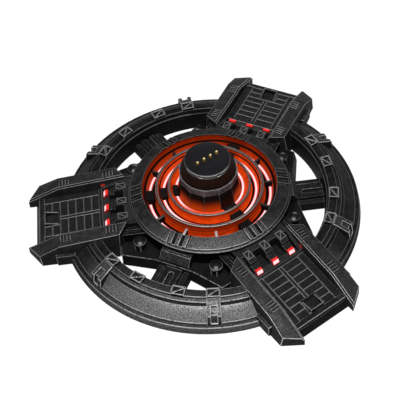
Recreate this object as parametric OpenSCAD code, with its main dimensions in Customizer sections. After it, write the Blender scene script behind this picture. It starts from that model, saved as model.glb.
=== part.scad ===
// Lit magnetic charging dock: a cast ring with three ramp arms, three spokes,
// a glowing stepped well and a centre post with four spring contacts.
// Millimetres, +Z up, origin on the axis at the table.

/* [Base ring] */
// Height of the castings above the table, which the pads take up
base_z = 0.4; // [0.2:0.1:0.5]
// Radius of the ring at the table
ring_r = 60; // [59.5:0.1:60.5]
// Radius of the ring's inner wall
ring_in_r = 45.6; // [45:0.1:46]
// Radius of the rim's top edge
rim_r = 59.4; // [59:0.1:59.5]
// Height of the rim, and of the shelf that carries the arms
rim_z = 3.4; // [3.2:0.1:3.6]
// Outer radius of the sloped band
band_r = 57.2; // [56.5:0.1:57.4]
// Height of the band's outer edge
band_z = 4.1; // [3.9:0.1:4.4]
// Inner radius of the sloped band, where the groove starts
groove_r = 53; // [52.6:0.1:53.4]
// Height of the band's inner edge
groove_z = 8.4; // [8.2:0.1:8.8]
// Outer radius of the step beside the groove
step_r = 52.1; // [51.8:0.1:52.3]
// Height of the step
step_z = 9.4; // [9.2:0.1:9.6]
// Outer radius of the top walk
walk_r = 50.4; // [50:0.1:50.6]
// Inner radius of the top walk
walk_in_r = 47; // [46.8:0.1:47.2]
// Height of the top walk
walk_z = 10.3; // [10:0.1:10.6]

/* [Ring plates and straps] */
// Radial length of a braced plate
plate_len = 3.9; // [3.6:0.1:4]
// Width of a braced plate
plate_w = 5.2; // [4.6:0.1:5.6]
// Height of a braced plate
plate_h = 1.2; // [0.9:0.1:1.4]
// Angle of the inner plates from a spoke
plate_near_a = 9.8; // [9:0.1:11]
// Angle of the strapped plates from a spoke
plate_far_a = 25; // [24:0.1:25.5]
// Angle that a strap covers
strap_a = 5.6; // [5:0.1:6]
// Radius of a strap's outer corner
strap_r = 57.3; // [57:0.1:57.6]
// Height of a strap's outer corner
strap_z = 8.3; // [7.8:0.1:8.6]

/* [Hub plate and spokes] */
// Distance of the hub plate's edge from the axis at a spoke
hub_u = 35.8; // [35.4:0.1:36.2]
// Half width of that edge
hub_v = 7.5; // [7.3:0.1:8]
// Distance of the hub plate's corner from the axis, along the spoke
corner_u = 38.4; // [38:0.1:38.8]
// Distance of that corner from the spoke's middle
corner_v = 20.5; // [20:0.1:21]
// Height of the hub plate's top
hub_z = 5; // [4.9:0.1:5.2]
// Half width of a spoke at the table
spoke_v = 7.2; // [6.9:0.1:7.4]
// Half width of a spoke at the top of its flanges
flange_v = 6.2; // [6:0.1:6.6]
// Height of a spoke's flanges
spoke_z = 3.6; // [3.4:0.1:3.9]
// Half width of a spoke's cover plank
plank_v = 3.3; // [3:0.1:3.6]
// Height of a cover plank's top
plank_z = 4; // [3.8:0.1:4.4]
// Half width of the wedge block on a spoke
block_v = 6.1; // [5.6:0.1:6.6]
// Distance of a guide knob from the axis, along the spoke
knob_u = 31.1; // [31:0.1:31.6]
// Distance of a guide knob from the spoke's middle
knob_v = 16; // [15.6:0.1:16.2]
// Radius of a guide knob's cap
knob_r = 2.5; // [2.2:0.1:2.6]

/* [Arms and rails] */
// Distance of a rail's inner face from the arm's middle
rail_v = 11.6; // [11.5:0.1:11.7]
// Half width of an arm at the table
arm_v = 18.9; // [18.6:0.1:19]
// Height of a rail's top edge at its inner end
rail_z = 13.2; // [12.9:0.1:13.4]
// Distance of a rail's inner end from the axis
rail_u = 33.6; // [33.4:0.1:34]
// Slope of a rail's top
rail_slope = 6.8; // [6.4:0.1:7.2]
// Distance of the rail's bend from the axis
bend_u = 60.4; // [60:0.1:61]
// Slope of a rail's top past the bend
tip_slope = 24.7; // [24:0.1:26]
// Sideways tilt of a rail's top
rail_tilt = 6.5; // [5.5:0.1:7]
// Distance of a rail's tip from the axis
tip_u = 72.8; // [72.4:0.1:73.2]
// Height of the pad on a rail's outer side
pad_z = 5.5; // [5.2:0.1:6]

/* [Decks] */
// Distance of a deck's inner edge from the axis
deck_u = 43; // [42.8:0.1:43.2]
// Distance of a deck's outer edge from the axis
deck_end_u = 68.5; // [68.2:0.1:68.8]
// Height of a deck's top at its inner edge
deck_z = 7.37; // [7.3:0.01:7.5]
// Slope of a deck
deck_slope = 5.4; // [5:0.1:5.8]
// Thickness of a deck
deck_t = 1; // [0.8:0.1:1.1]
// Distance of the first grid line from the axis
grid_u = 44.2; // [44:0.1:44.4]
// Spacing of the grid's rows
grid_row = 3.18; // [3.1:0.01:3.2]
// Half width of the grid
grid_v = 8.4; // [8:0.1:8.8]
// Width of a grid line
line_w = 0.45; // [0.3:0.05:0.6]
// Depth of the tiles between the grid lines
tile_d = 0.3; // [0.2:0.05:0.5]
// Rise of the scoop's lip above the deck
scoop_h = 1.75; // [1.4:0.05:2]

/* [Arm lights] */
// Distance of the lenses from the axis
lens_u = 41.4; // [41.3:0.05:41.6]
// Spacing of the lenses across an arm
lens_v = 7.66; // [7.4:0.02:7.8]
// Width of a rib behind a lens
rib_w = 3.2; // [2.8:0.1:3.4]
// Height of the panel next to the hub
panel_z = 11.2; // [10.8:0.1:11.4]
// Height of the braced boxes on the ribs
box_z = 11.8; // [11.6:0.1:12]

/* [Well] */
// Radius of the hub housing
housing_r = 31; // [30.8:0.1:31.2]
// Outer radius of the collar's lower lip
collar_r = 32.2; // [32:0.1:32.4]
// Inner radius of the collar
collar_in_r = 26.6; // [26.4:0.1:26.8]
// Height of the collar's inner edge
collar_z = 15.6; // [15.4:0.1:15.9]
// Width of a ribbed clamp on the collar
clamp_w = 7.4; // [6.8:0.1:7.8]
// Gap beside a clamp
clamp_gap = 0.5; // [0.4:0.1:0.7]
// Radius of the outer light strip's middle
outer_strip_r = 24; // [23.8:0.1:24.2]
// Height of the outer light strip's top
outer_strip_z = 10; // [9.8:0.1:10.2]
// Radius of the middle light strip's middle
middle_strip_r = 18.4; // [18.3:0.05:18.6]
// Height of the middle light strip's top
middle_strip_z = 11.75; // [11.6:0.05:11.9]
// Radius of the inner light strip's middle
inner_strip_r = 13.25; // [13.25:0.05:13.4]
// Height of the inner light strip's top
inner_strip_z = 13.2; // [13.1:0.05:13.3]
// Width of a light strip
strip_w = 1.15; // [1:0.05:1.2]
// Radius of the middle ring
middle_ring_r = 20.9; // [20.8:0.1:21.1]
// Height of the middle ring
middle_ring_z = 15.2; // [15:0.1:15.4]
// Radius of the inner ring
inner_ring_r = 15.95; // [15.9:0.05:16.1]
// Height of the inner ring
inner_ring_z = 15.9; // [15.7:0.1:16.1]
// Thickness of a channel divider
divider_t = 1; // [0.8:0.1:1.2]
// Width of the spacer blocks in line with the arms
spacer_w = 5; // [4:0.1:6]

/* [Contact post] */
// Corner radius of the pedestal's foot
foot_r = 12.6; // [12.4:0.05:12.6]
// Corner radius of the pedestal's top
pedestal_r = 11.3; // [11:0.1:11.6]
// Height of the pedestal's top, under the band
pedestal_z = 21; // [20:0.5:22]
// Corner radius of the band
post_band_r = 11.6; // [11.4:0.1:11.8]
// Height of the band's top
post_band_z = 24.2; // [24:0.1:24.6]
// Height of the neck's top
neck_z = 28.2; // [28:0.1:28.4]
// Radius of the contact disc
disc_r = 8.45; // [8.4:0.05:8.5]
// Height of the contact disc's top
disc_z = 30.5; // [30.3:0.1:30.7]
// Pitch of the contacts
pin_pitch = 3; // [2.8:0.1:3]
// Radius of a contact's tip
pin_r = 0.55; // [0.5:0.01:0.56]
// Height that a contact stands above the disc
pin_h = 1.1; // [1:0.05:1.3]

/* [Hidden] */
$fn = 96;
ARM_ANGLES = [270, 30, 150];
SPOKE_ANGLES = [90, 210, 330];
FRONT = 0;
RIGHT = 1;
LEFT = 2;

casting = [0.17, 0.17, 0.18];
casting_dark = [0.08, 0.08, 0.085];
worn_casting = [0.36, 0.36, 0.37];
lit_orange = [1, 0.28, 0.02];
lit_white = [1, 0.85, 0.85];
lit_red = [1, 0.2, 0.2];
board_green = [0.05, 0.25, 0.12];
gold = [0.85, 0.65, 0.3];
steel = [0.7, 0.7, 0.72];
rubber = [0.05, 0.05, 0.05];

// The ring's section, from the inner foot round the outside to the inner wall
rim_lip_r = band_r + 0.5;
walk_wall = [[walk_in_r - 0.3, walk_z - 1.7], [walk_in_r - 0.8, walk_z - 1.9]];
ring_section = concat(
  [[ring_in_r, base_z], [ring_r, base_z], [rim_r, rim_z], [rim_lip_r + 0.2, rim_z]],
  [[rim_lip_r, band_z], [band_r, band_z], [groove_r, groove_z], [groove_r, groove_z - 0.5]],
  [[step_r, groove_z - 0.5], [step_r, step_z], [walk_r, step_z], [walk_r, walk_z]],
  [[walk_in_r, walk_z]], walk_wall, [[ring_in_r, rim_z]]
);
ring_foot_section = [[ring_in_r, base_z], [ring_r, base_z], [rim_r, rim_z], [ring_in_r, rim_z]];
strap_in_r = (walk_in_r + plate_len) / cos(strap_a / 2);
strap_section = [
  [strap_in_r, step_z], [step_r, step_z], [step_r, groove_z - 0.5], [groove_r, groove_z - 0.5],
  [groove_r, groove_z], [band_r, band_z], [rim_lip_r, band_z], [rim_lip_r + 0.2, rim_z],
  [strap_r + 0.9, rim_z], [strap_r + 0.9, rim_z + 0.5], [strap_r + 0.1, strap_z - 0.3],
  [strap_r - 0.3, strap_z], [step_r + 0.3, step_z + 0.9], [strap_in_r, step_z + 1.4]
];
strap_slot_section = [
  [groove_r + 0.8, step_z + 2], [groove_r + 0.8, groove_z + 0.3], [strap_r - 0.8, strap_z - 0.8],
  [strap_r, band_z + 0.2], [rim_r, band_z + 0.2], [rim_r, step_z + 2]
];

// Arm geometry: the side walls lean in, the ends are cut at a slant
side_lean = 0.125;
arm_top = 14;
end_lean = 0.593;
tip_lean = 0.698;
edge_v = rail_v + 0.5;
ledge_v = 0.2;
ledge_d = 0.6;
saddle_u = [40, 66];
side_pad_u = [54.6, 62.1];
side_pad_v = arm_v + 0.7;
plate_edge_u = corner_u * cos(60) + corner_v * sin(60);
inner_hatch_u = 37.2;
outer_hatch_u = 55.3;
hatch_pitch = 1.3;
hatch_len = 2.8;
led_floor_z = deck_z - deck_t - 0.15;
body_end_u = deck_end_u + 0.7;
body_end_z = 3;
body_foot_u = body_end_u + 1.1;
grid_rows = 7;
scoop_row = 5;
scoop_v = 3.2;
scoop_u = [grid_u + scoop_row * grid_row + 0.8, grid_u + grid_rows * grid_row - 0.1];
scoop_wall = 0.6;
board_t = 0.8;
rib_end_u = lens_u - 1.2;
lens_len = 1.9;
lens_w = 2.7;
lens_top_z = 8.9;

// Power socket and its lead, in the right arm
socket_len = 7.6;
socket_half_w = 4.47;
socket_r = 1.55;
socket_z = base_z + 0.06 + socket_r;
socket_u = body_end_u - socket_len;
socket_wall = 0.3;
tab_u = socket_u - 1.4;
tab_z = [2.4, 4.5];
lead_r = 0.4;
lead_bore_r = 0.48;
lead_z = 3.9;
connector_u = [14, 18];

// Hub plate, its cavity, main board, cover and pads
hub_draft = 1.2;
hub_lean = hub_draft / (hub_z - base_z);
cavity_r = 26;
cavity_z = 4.4;
cover_r = 28;
cover_t = 1.2;
cover_z = base_z + cover_t;
screw_ring_r = 23.5;
screw_r = 0.9;
screw_head_r = 1.8;
screw_head_t = 0.7;
boss_r = 2.2;
main_board_r = 20.5;
main_board_z = 2.6;
standoff_ring_r = 16.5;
standoff_r = 1.5;
wire_hole_r = 5;
hub_pad_r = 12;
ring_pad_r = 3.5;
ring_pad_at = 53;
ring_pad_a = 20;
pad_sink = 0.5;

// The well: liner, rings and channels
floor_z = hub_z + 1.2;
light_board_z = floor_z + 1;
liner_r = collar_in_r + 0.8;
liner_top_z = collar_z - 0.6;
collar_base_z = 12.2;
bore_r = foot_r - 0.7;
strip_t = 0.5;
wall_gap = 0.05;
ridge_cap = 0.75;
outer_strip = [outer_strip_r, outer_strip_z];
middle_strip = [middle_strip_r, middle_strip_z];
inner_strip = [inner_strip_r, inner_strip_z];
middle_ring_at = [middle_ring_r, middle_ring_z];
inner_ring_at = [inner_ring_r, inner_ring_z];
outer_floor = outer_strip - [0, strip_t];
middle_floor = middle_strip - [0, strip_t];
inner_floor = inner_strip - [0, strip_t];
ledge_z = outer_floor[1] + 3.2;
middle_step_z = middle_floor[1] + 2.2;
inner_step_z = inner_floor[1] + 1.7;
outer_ridge_foot = middle_ring_at[0] + 1.2;
middle_ridge_foot = inner_ring_at[0] + 0.95;
middle_ring_half = 0.5;
inner_ring_half = 0.42;
outer_wall_foot = outer_floor[0] + strip_w / 2 + wall_gap;
middle_wall_foot = middle_floor[0] + strip_w / 2 + wall_gap;
inner_wall_foot = inner_floor[0] + strip_w / 2 + wall_gap;
outer_ridge_wall = [[outer_ridge_foot, outer_floor[1]],
  [middle_ring_at[0] + middle_ring_half, middle_ring_at[1] - ridge_cap]];
middle_ridge_wall = [[middle_ridge_foot, middle_floor[1]],
  [inner_ring_at[0] + inner_ring_half, inner_ring_at[1] - ridge_cap]];
liner_section = concat(
  [[bore_r, light_board_z], [liner_r, light_board_z], [liner_r, liner_top_z], [collar_in_r, liner_top_z]],
  [[collar_in_r - 0.4, ledge_z + 0.2], [outer_wall_foot + 0.6, ledge_z], [outer_wall_foot, outer_floor[1]]],
  outer_ridge_wall,
  [[middle_ring_at[0] - middle_ring_half, middle_ring_at[1] - ridge_cap]],
  [[middle_wall_foot + 1, middle_step_z + 0.2], [middle_wall_foot + 0.5, middle_step_z]],
  [[middle_wall_foot, middle_floor[1]]],
  middle_ridge_wall,
  [[inner_ring_at[0] - inner_ring_half, inner_ring_at[1] - ridge_cap]],
  [[inner_wall_foot + 0.8, inner_step_z], [inner_wall_foot, inner_floor[1]], [bore_r, inner_floor[1]]]
);
collar_section = [
  [liner_r, collar_base_z], [collar_r, collar_base_z], [collar_r, collar_base_z + 0.7],
  [collar_r - 0.6, collar_base_z + 1], [collar_r - 0.7, collar_base_z + 1.8], [collar_in_r, collar_z],
  [collar_in_r, liner_top_z], [liner_r, liner_top_z]
];
clamp_rise = 0.2;
clamp_groove = 0.4;
clamp_z = collar_base_z + 0.8;

// Contact post
post_bore_r = 8.5;
neck_in_r = 8;
head_r = 8.95;
head_step_z = neck_z + 1;
head_floor_r = 7;
disc_boss_r = 6.9;
pin_board_z = 26;
boss_z = pin_board_z + board_t;
barrel_r = 0.95;
barrel_bore_r = 0.72;
barrel_mouth_r = pin_r + 0.05;
barrel_floor_z = boss_z + 0.4;
barrel_roof_z = disc_z - 0.35;
flange_r = barrel_bore_r - 0.06;
flange_t = 0.5;
flange_top_z = barrel_roof_z - 0.1;
spring_wire_r = 0.07;
spring_r = 0.5;
spring_turns = 6;
magnet_r = 1.8;
magnet_h = 1.6;
magnet_y = 4.6;
notch_w = 1.6;
PINS = [1, 2, 3, 4];

// Height of a deck's top, and of a lean wall, at a given place
function deck_at(u) = deck_z - (u - deck_u) * tan(deck_slope);
function wall_at(wall, z) =
  wall[0][0] + (wall[1][0] - wall[0][0]) * (z - wall[0][1]) / (wall[1][1] - wall[0][1]);
function arm_half(z) = arm_v - (z - base_z) * side_lean;
function rail_end(v) = rail_u + (v - edge_v) * end_lean;
function rail_tip(v) = tip_u - (v - edge_v) * tip_lean;
function turn(p, a) = [p[0] * cos(a) - p[1] * sin(a), p[0] * sin(a) + p[1] * cos(a)];
function pin_x(i) = (i - 2.5) * pin_pitch;

// An outline of distance and height, stretched across the arm from v0 to v1
module side_profile(outline, v0, v1) {
  translate([0, v1, 0])
    rotate([90, 0, 0])
      linear_extrude(v1 - v0)
        polygon(outline);
}

// An outline of width and height, stretched along the arm from u0 to u1
module cross_profile(outline, u0, u1) {
  translate([u0, 0, 0])
    rotate([90, 0, 90])
      linear_extrude(u1 - u0)
        polygon(outline);
}

// A strip of wall that follows the deck, from drop below its top to rise above it
module deck_prism(u0, u1, v0, v1, drop, rise) {
  side_profile([[u0, deck_at(u0) - drop], [u1, deck_at(u1) - drop],
    [u1, deck_at(u1) + rise], [u0, deck_at(u0) + rise]], v0, v1);
}

// A flat box with a sunk face on each side of one diagonal bar
module braced_box(size, border, bar, sink) {
  x0 = border;
  x1 = size[0] - border;
  y0 = border;
  y1 = size[1] - border;
  slant = bar * (y1 - y0) / (x1 - x0);
  difference() {
    cube(size);
    translate([0, 0, size[2] - sink])
      linear_extrude(sink + 1)
        polygon([[x0 + bar, y0], [x1, y0], [x1, y1 - slant]]);
    translate([0, 0, size[2] - sink])
      linear_extrude(sink + 1)
        polygon([[x0, y0 + slant], [x1 - bar, y1], [x0, y1]]);
  }
}

module ring_solid() {
  rotate_extrude()
    polygon(ring_section);
}

module ring_foot() {
  rotate_extrude()
    polygon(ring_foot_section);
}

// The room that an arm takes above the ring's shelf
module arm_room() {
  w0 = arm_half(rim_z);
  w1 = arm_half(arm_top);
  cross_profile([[-w0, rim_z], [w0, rim_z], [w1, arm_top], [-w1, arm_top]], saddle_u[0], saddle_u[1]);
  translate([side_pad_u[0], -side_pad_v, rim_z])
    cube([side_pad_u[1] - side_pad_u[0], 2 * side_pad_v, pad_z - rim_z]);
}

module pad_places() {
  for (a = SPOKE_ANGLES, s = [-1, 1])
    rotate(a + s * ring_pad_a)
      translate([ring_pad_at, 0, 0])
        children();
}

module base_ring() {
  color(casting)
    difference() {
      ring_solid();
      for (a = ARM_ANGLES)
        rotate(a)
          arm_room();
      pad_places()
        cylinder(r = ring_pad_r, h = base_z + pad_sink);
    }
}

// Braced plates along the top walk
module ring_plates() {
  color(casting)
    for (a = SPOKE_ANGLES, s = [-1, 1], t = [plate_near_a, plate_far_a])
      rotate(a + s * t)
        translate([walk_in_r, plate_w / 2, walk_z])
          mirror([0, 1, 0])
            braced_box([plate_len, plate_w, plate_h], 0.5, 0.4, 0.5);
}

// Straps that bridge the band from the outer plates to the rim, slotted at the outer end
module ring_straps() {
  slot_a = strap_a * 0.4;
  color(casting)
    for (a = SPOKE_ANGLES, s = [-1, 1])
      rotate(a + s * plate_far_a)
        difference() {
          rotate(-strap_a / 2)
            rotate_extrude(angle = strap_a)
              polygon(strap_section);
          rotate(-slot_a / 2)
            rotate_extrude(angle = slot_a)
              polygon(strap_slot_section);
        }
}

// Everything that lies behind the hub plate's face at a spoke
module behind_hub_face() {
  side_profile([[hub_u - 6, base_z - 1], [hub_u + hub_lean, base_z - 1], [hub_u - hub_draft, hub_z],
    [hub_u - 6, hub_z]], -hub_v, hub_v);
}

// One spoke: a floor with a broad flange along each side
module spoke(a) {
  floor_v = plank_v + 0.9;
  half = [[0, base_z], [spoke_v, base_z], [flange_v, spoke_z], [floor_v, spoke_z], [floor_v, spoke_z - 1]];
  other = [for (i = [len(half) - 1 : -1 : 1]) [-half[i][0], half[i][1]]];
  color(casting)
    rotate(a)
      difference() {
        cross_profile(concat(half, other), hub_u - 3, walk_in_r + 1);
        ring_solid();
        behind_hub_face();
      }
}

module spoke_rear() {
  spoke(SPOKE_ANGLES[0]);
}

module spoke_left() {
  spoke(SPOKE_ANGLES[1]);
}

module spoke_right() {
  spoke(SPOKE_ANGLES[2]);
}

// Cover planks with a long slot
module spoke_planks() {
  floor_top = spoke_z - 1;
  slot_u = [hub_u + 2.2, walk_in_r];
  slot_v = 1;
  color(casting)
    for (a = SPOKE_ANGLES)
      rotate(a)
        difference() {
          cross_profile([[-plank_v, floor_top], [plank_v, floor_top], [plank_v, plank_z],
            [-plank_v, plank_z]], hub_u - 3, walk_in_r + 1);
          ring_solid();
          behind_hub_face();
          translate([slot_u[0], -slot_v, plank_z - 0.9])
            cube([slot_u[1] - slot_u[0], 2 * slot_v, 2]);
          translate([slot_u[0], 0, plank_z - 0.9])
            cylinder(r = slot_v, h = 2);
        }
}

// Wedge blocks that stand against the hub at the spokes
module spoke_blocks() {
  back_u = housing_r - 3;
  face = [[hub_u - 1, hub_z + 1.66], [hub_u - 3.1, hub_z + 4.7]];
  outline = concat([[back_u, hub_z], [hub_u - 1.8, hub_z], [hub_u - 1.8, hub_z + 1.3]], face,
    [[hub_u - 4, hub_z + 4.9], [back_u, hub_z + 4.9]]);
  color(worn_casting)
    for (a = SPOKE_ANGLES)
      rotate(a)
        difference() {
          side_profile(outline, -block_v, block_v);
          cylinder(r = housing_r, h = 20);
          translate([hub_u - 3.9, -block_v * 0.66, hub_z + 3.9])
            cube([0.6, block_v * 1.32, 2]);
        }
}

// What is cut from the hub plate's blank at a spoke: a bay with three leaning walls
module hub_bay() {
  corners = [[corner_u, -corner_v], [hub_u, -hub_v], [hub_u, hub_v], [corner_u, corner_v]];
  reach = 60;
  intersection_for (i = [0 : 2]) {
    p = corners[i];
    q = corners[i + 1];
    translate([p[0], p[1], 0])
      rotate(atan2(q[1] - p[1], q[0] - p[0]))
        cross_profile([[-hub_lean, base_z - 1], [hub_draft + hub_lean, hub_z + 1], [-reach, hub_z + 1],
          [-reach, base_z - 1]], -reach, reach);
  }
}

// The hub plate's outside: straight walls at the arms, a bay at each spoke
module hub_block() {
  blank_u = corner_u + 2;
  blank_v = (plate_edge_u - blank_u * cos(60)) / sin(60);
  difference() {
    translate([0, 0, base_z])
      linear_extrude(hub_z - base_z)
        polygon([for (a = SPOKE_ANGLES, v = [-blank_v, blank_v]) turn([blank_u, v], a)]);
    for (a = SPOKE_ANGLES)
      rotate(a)
        hub_bay();
  }
}

module screw_places() {
  for (a = SPOKE_ANGLES)
    rotate(a)
      translate([screw_ring_r, 0, 0])
        children();
}

// Lower plate of the hub: hollow below for the main board
module hub_plate() {
  color(casting_dark)
    difference() {
      hub_block();
      difference() {
        cylinder(r = cavity_r, h = cavity_z);
        screw_places()
          translate([0, 0, cover_z])
            cylinder(r = boss_r, h = hub_z);
        for (a = SPOKE_ANGLES)
          rotate(a)
            translate([standoff_ring_r, 0, main_board_z + board_t])
              cylinder(r = standoff_r, h = hub_z);
      }
      cylinder(r = cover_r, h = cover_z);
      cylinder(r = wire_hole_r, h = hub_z + 1);
      screw_places()
        cylinder(r = screw_r + 0.05, h = cavity_z);
      rotate(ARM_ANGLES[RIGHT])
        translate([cavity_r - 1, 0, lead_z])
          rotate([0, 90, 0])
            cylinder(r = lead_bore_r, h = 20);
    }
}

// Domed studs on the hub plate
module guide_knobs() {
  cap_z = hub_z + 2.9;
  dome_h = 0.9;
  dome_r = (knob_r * knob_r + dome_h * dome_h) / (2 * dome_h);
  cap_h = 1;
  color(worn_casting)
    for (a = SPOKE_ANGLES, s = [-1, 1])
      rotate(a)
        translate([knob_u, s * knob_v, hub_z]) {
          cylinder(r = knob_r * 0.45, h = cap_z - hub_z);
          translate([0, 0, cap_z - hub_z])
            intersection() {
              cylinder(r = knob_r, h = cap_h + dome_h);
              translate([0, 0, cap_h + dome_h - dome_r])
                sphere(r = dome_r);
            }
        }
}

// Power socket's outline: a flat oval, with wall taken off all round
module socket_oval(wall, len) {
  r = socket_r - wall;
  reach = socket_half_w - socket_r;
  for (s = [-1, 1])
    translate([0, s * reach, socket_z])
      rotate([0, 90, 0])
        cylinder(r = r, h = len);
  translate([0, -reach, socket_z - r])
    cube([len, 2 * reach, 2 * r]);
}

// Core of an arm between its rails, resting on the hub plate and the ring's shelf
module arm_core() {
  deck_low = deck_at(deck_end_u) - deck_t;
  outline = [
    [housing_r - 3, hub_z], [plate_edge_u, hub_z], [plate_edge_u, base_z], [body_foot_u, base_z],
    [body_end_u, body_end_z], [body_end_u - 0.3, deck_low], [deck_end_u, deck_low],
    [deck_u, deck_at(deck_u) - deck_t], [deck_u, led_floor_z], [housing_r - 3, led_floor_z]
  ];
  difference() {
    side_profile(outline, -rail_v, rail_v);
    ring_foot();
    cylinder(r = housing_r, h = 20);
  }
}

module arm_body_front() {
  color(casting_dark)
    rotate(ARM_ANGLES[FRONT])
      arm_core();
}

module arm_body_right() {
  color(casting_dark)
    rotate(ARM_ANGLES[RIGHT])
      difference() {
        arm_core();
        translate([socket_u, 0, 0])
          socket_oval(0, socket_len + 3);
        translate([tab_u - 0.1, -2, tab_z[0] - 0.1])
          cube([socket_u - tab_u + 0.2, 4, tab_z[1] - tab_z[0] + 0.15]);
        translate([plate_edge_u - 1, 0, lead_z])
          rotate([0, 90, 0])
            cylinder(r = lead_bore_r, h = tab_u - plate_edge_u + 1);
      }
}

module arm_body_left() {
  color(casting_dark)
    rotate(ARM_ANGLES[LEFT])
      arm_core();
}

// Sunk tiles of the grid on one side of the double centre line
module deck_tiles() {
  centre = 2 * line_w;
  for (row = [0 : grid_rows - 1]) {
    v0 = row < scoop_row ? centre : scoop_v + line_w;
    u0 = grid_u + row * grid_row;
    deck_prism(u0 + line_w / 2, u0 + grid_row - line_w / 2, v0, grid_v - line_w / 2, tile_d, 1);
  }
}

// Deck of an arm: gridded plate with a scoop that rises to a lip near the tip
module deck(a) {
  low = deck_at(deck_end_u) - deck_t;
  grid_end = grid_u + grid_rows * grid_row;
  color(casting)
    rotate(a) {
      difference() {
        side_profile([[deck_u, deck_at(deck_u) - deck_t], [deck_end_u, low], [body_end_u - 0.3, low],
          [deck_end_u, deck_at(deck_end_u)], [deck_u, deck_at(deck_u)]], -rail_v, rail_v);
        for (s = [0, 1])
          mirror([0, s, 0]) {
            deck_tiles();
            deck_prism(grid_u, grid_end, grid_v + line_w / 2, rail_v + 1, tile_d * 2, 1);
          }
        deck_prism(grid_u + line_w / 2, grid_u + scoop_row * grid_row, -line_w, line_w, tile_d, 1);
        deck_prism(scoop_u[0], scoop_u[1] - scoop_wall, scoop_wall - scoop_v, scoop_v - scoop_wall, 0.7, 1);
      }
      difference() {
        side_profile([[scoop_u[0], deck_at(scoop_u[0]) - 0.3], [scoop_u[1], deck_at(scoop_u[1]) - 0.3],
          [scoop_u[1], deck_at(scoop_u[1]) + scoop_h], [scoop_u[0], deck_at(scoop_u[0]) + 0.1]],
          -scoop_v, scoop_v);
        deck_prism(scoop_u[0] - 1, scoop_u[1] - scoop_wall, scoop_wall - scoop_v, scoop_v - scoop_wall, 1, 4);
      }
    }
}

module deck_front() {
  deck(ARM_ANGLES[FRONT]);
}

module deck_right() {
  deck(ARM_ANGLES[RIGHT]);
}

module deck_left() {
  deck(ARM_ANGLES[LEFT]);
}

// Places children on a rail's top plane: along the rail, across it and up from it
module on_rail() {
  translate([rail_u, edge_v, rail_z])
    rotate([0, rail_slope, 0])
      rotate([-rail_tilt, 0, 0])
        children();
}

// The same past the bend
module on_tip() {
  translate([bend_u, edge_v, rail_z - (bend_u - rail_u) * tan(rail_slope)])
    rotate([0, tip_slope, 0])
      rotate([-rail_tilt, 0, 0])
        children();
}

// One rail, on the +v side of an arm
module rail() {
  far_v = arm_v + 1;
  reach = 60;
  difference() {
    union() {
      intersection() {
        cross_profile([[rail_v, base_z], [arm_v, base_z], [arm_half(arm_top), arm_top], [rail_v, arm_top]],
          rail_u - 2, tip_u + 2);
        linear_extrude(arm_top)
          polygon([[rail_end(rail_v), rail_v], [rail_end(far_v), far_v], [rail_tip(far_v), far_v],
            [rail_tip(rail_v), rail_v]]);
      }
      translate([side_pad_u[0], rail_v + 2, base_z])
        cube([side_pad_u[1] - side_pad_u[0], side_pad_v - rail_v - 2, pad_z - base_z]);
    }
    on_rail()
      translate([-20, -10, 0])
        cube([reach + 20, 30, 20]);
    on_tip()
      translate([-40, -10, 0])
        cube([reach + 20, 30, 30]);
    on_rail()
      translate([-20, -10, -ledge_d])
        cube([reach + 20, 10 + ledge_v, 20]);
    on_tip()
      translate([-40, -10, -ledge_d])
        cube([reach + 20, 10 + ledge_v, 30]);
    on_rail()
      for (i = [0 : 3], u = [inner_hatch_u, outer_hatch_u])
        translate([u - rail_u + i * hatch_pitch, ledge_v + 0.6, -0.5])
          cube([0.65, hatch_len, 2]);
    ring_foot();
    translate([0, 0, base_z - 1])
      cube([plate_edge_u, far_v + 1, hub_z - base_z + 1]);
  }
}

module rail_pair(a) {
  color(casting)
    rotate(a)
      for (s = [0, 1])
        mirror([0, s, 0])
          rail();
}

module rails_front() {
  rail_pair(ARM_ANGLES[FRONT]);
}

module rails_right() {
  rail_pair(ARM_ANGLES[RIGHT]);
}

module rails_left() {
  rail_pair(ARM_ANGLES[LEFT]);
}

// Frame of an arm's lights: hub panel, three ribs with braced boxes, side cheeks
module light_frame(a) {
  panel_u = 34.2;
  box_len = 3.9;
  box_u = 33.1;
  cheek_w = 1.2;
  color(casting)
    rotate(a)
      difference() {
        union() {
          translate([housing_r - 3, -rail_v, led_floor_z])
            cube([panel_u - housing_r + 3, 2 * rail_v, panel_z - led_floor_z]);
          for (v = [-lens_v, 0, lens_v]) {
            side_profile([[panel_u - 1, led_floor_z], [rib_end_u, led_floor_z], [rib_end_u, lens_top_z - 0.3],
              [rib_end_u - 1.4, lens_top_z + 0.6], [panel_u + 2.8, panel_z], [panel_u - 1, panel_z]],
              v - rib_w / 2, v + rib_w / 2);
            translate([box_u, v + rib_w / 2 - 0.1, panel_z])
              mirror([0, 1, 0])
                braced_box([box_len, rib_w - 0.2, box_z - panel_z], 0.45, 0.4, 0.45);
          }
          for (s = [-1, 1])
            side_profile([[panel_u - 1, led_floor_z], [deck_u, led_floor_z], [deck_u, deck_at(deck_u) + 0.5],
              [panel_u + 1, panel_z], [panel_u - 1, panel_z]],
              s > 0 ? rail_v - cheek_w : -rail_v, s > 0 ? rail_v : cheek_w - rail_v);
        }
        cylinder(r = housing_r, h = 20);
        for (v = [-lens_v, 0, lens_v], u = [rib_end_u - 2.2, rib_end_u - 1])
          translate([u, v - rib_w / 2 - 0.1, lens_top_z - 0.1])
            cube([0.4, rib_w + 0.2, 3]);
      }
}

module light_frame_front() {
  light_frame(ARM_ANGLES[FRONT]);
}

module light_frame_right() {
  light_frame(ARM_ANGLES[RIGHT]);
}

module light_frame_left() {
  light_frame(ARM_ANGLES[LEFT]);
}

// Boards that carry the lenses
module lens_boards() {
  color(board_green)
    for (a = ARM_ANGLES)
      rotate(a)
        translate([rib_end_u + 0.1, 1.3 - rail_v, led_floor_z])
          cube([deck_u - rib_end_u - 0.2, 2 * rail_v - 2.6, board_t]);
}

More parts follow.
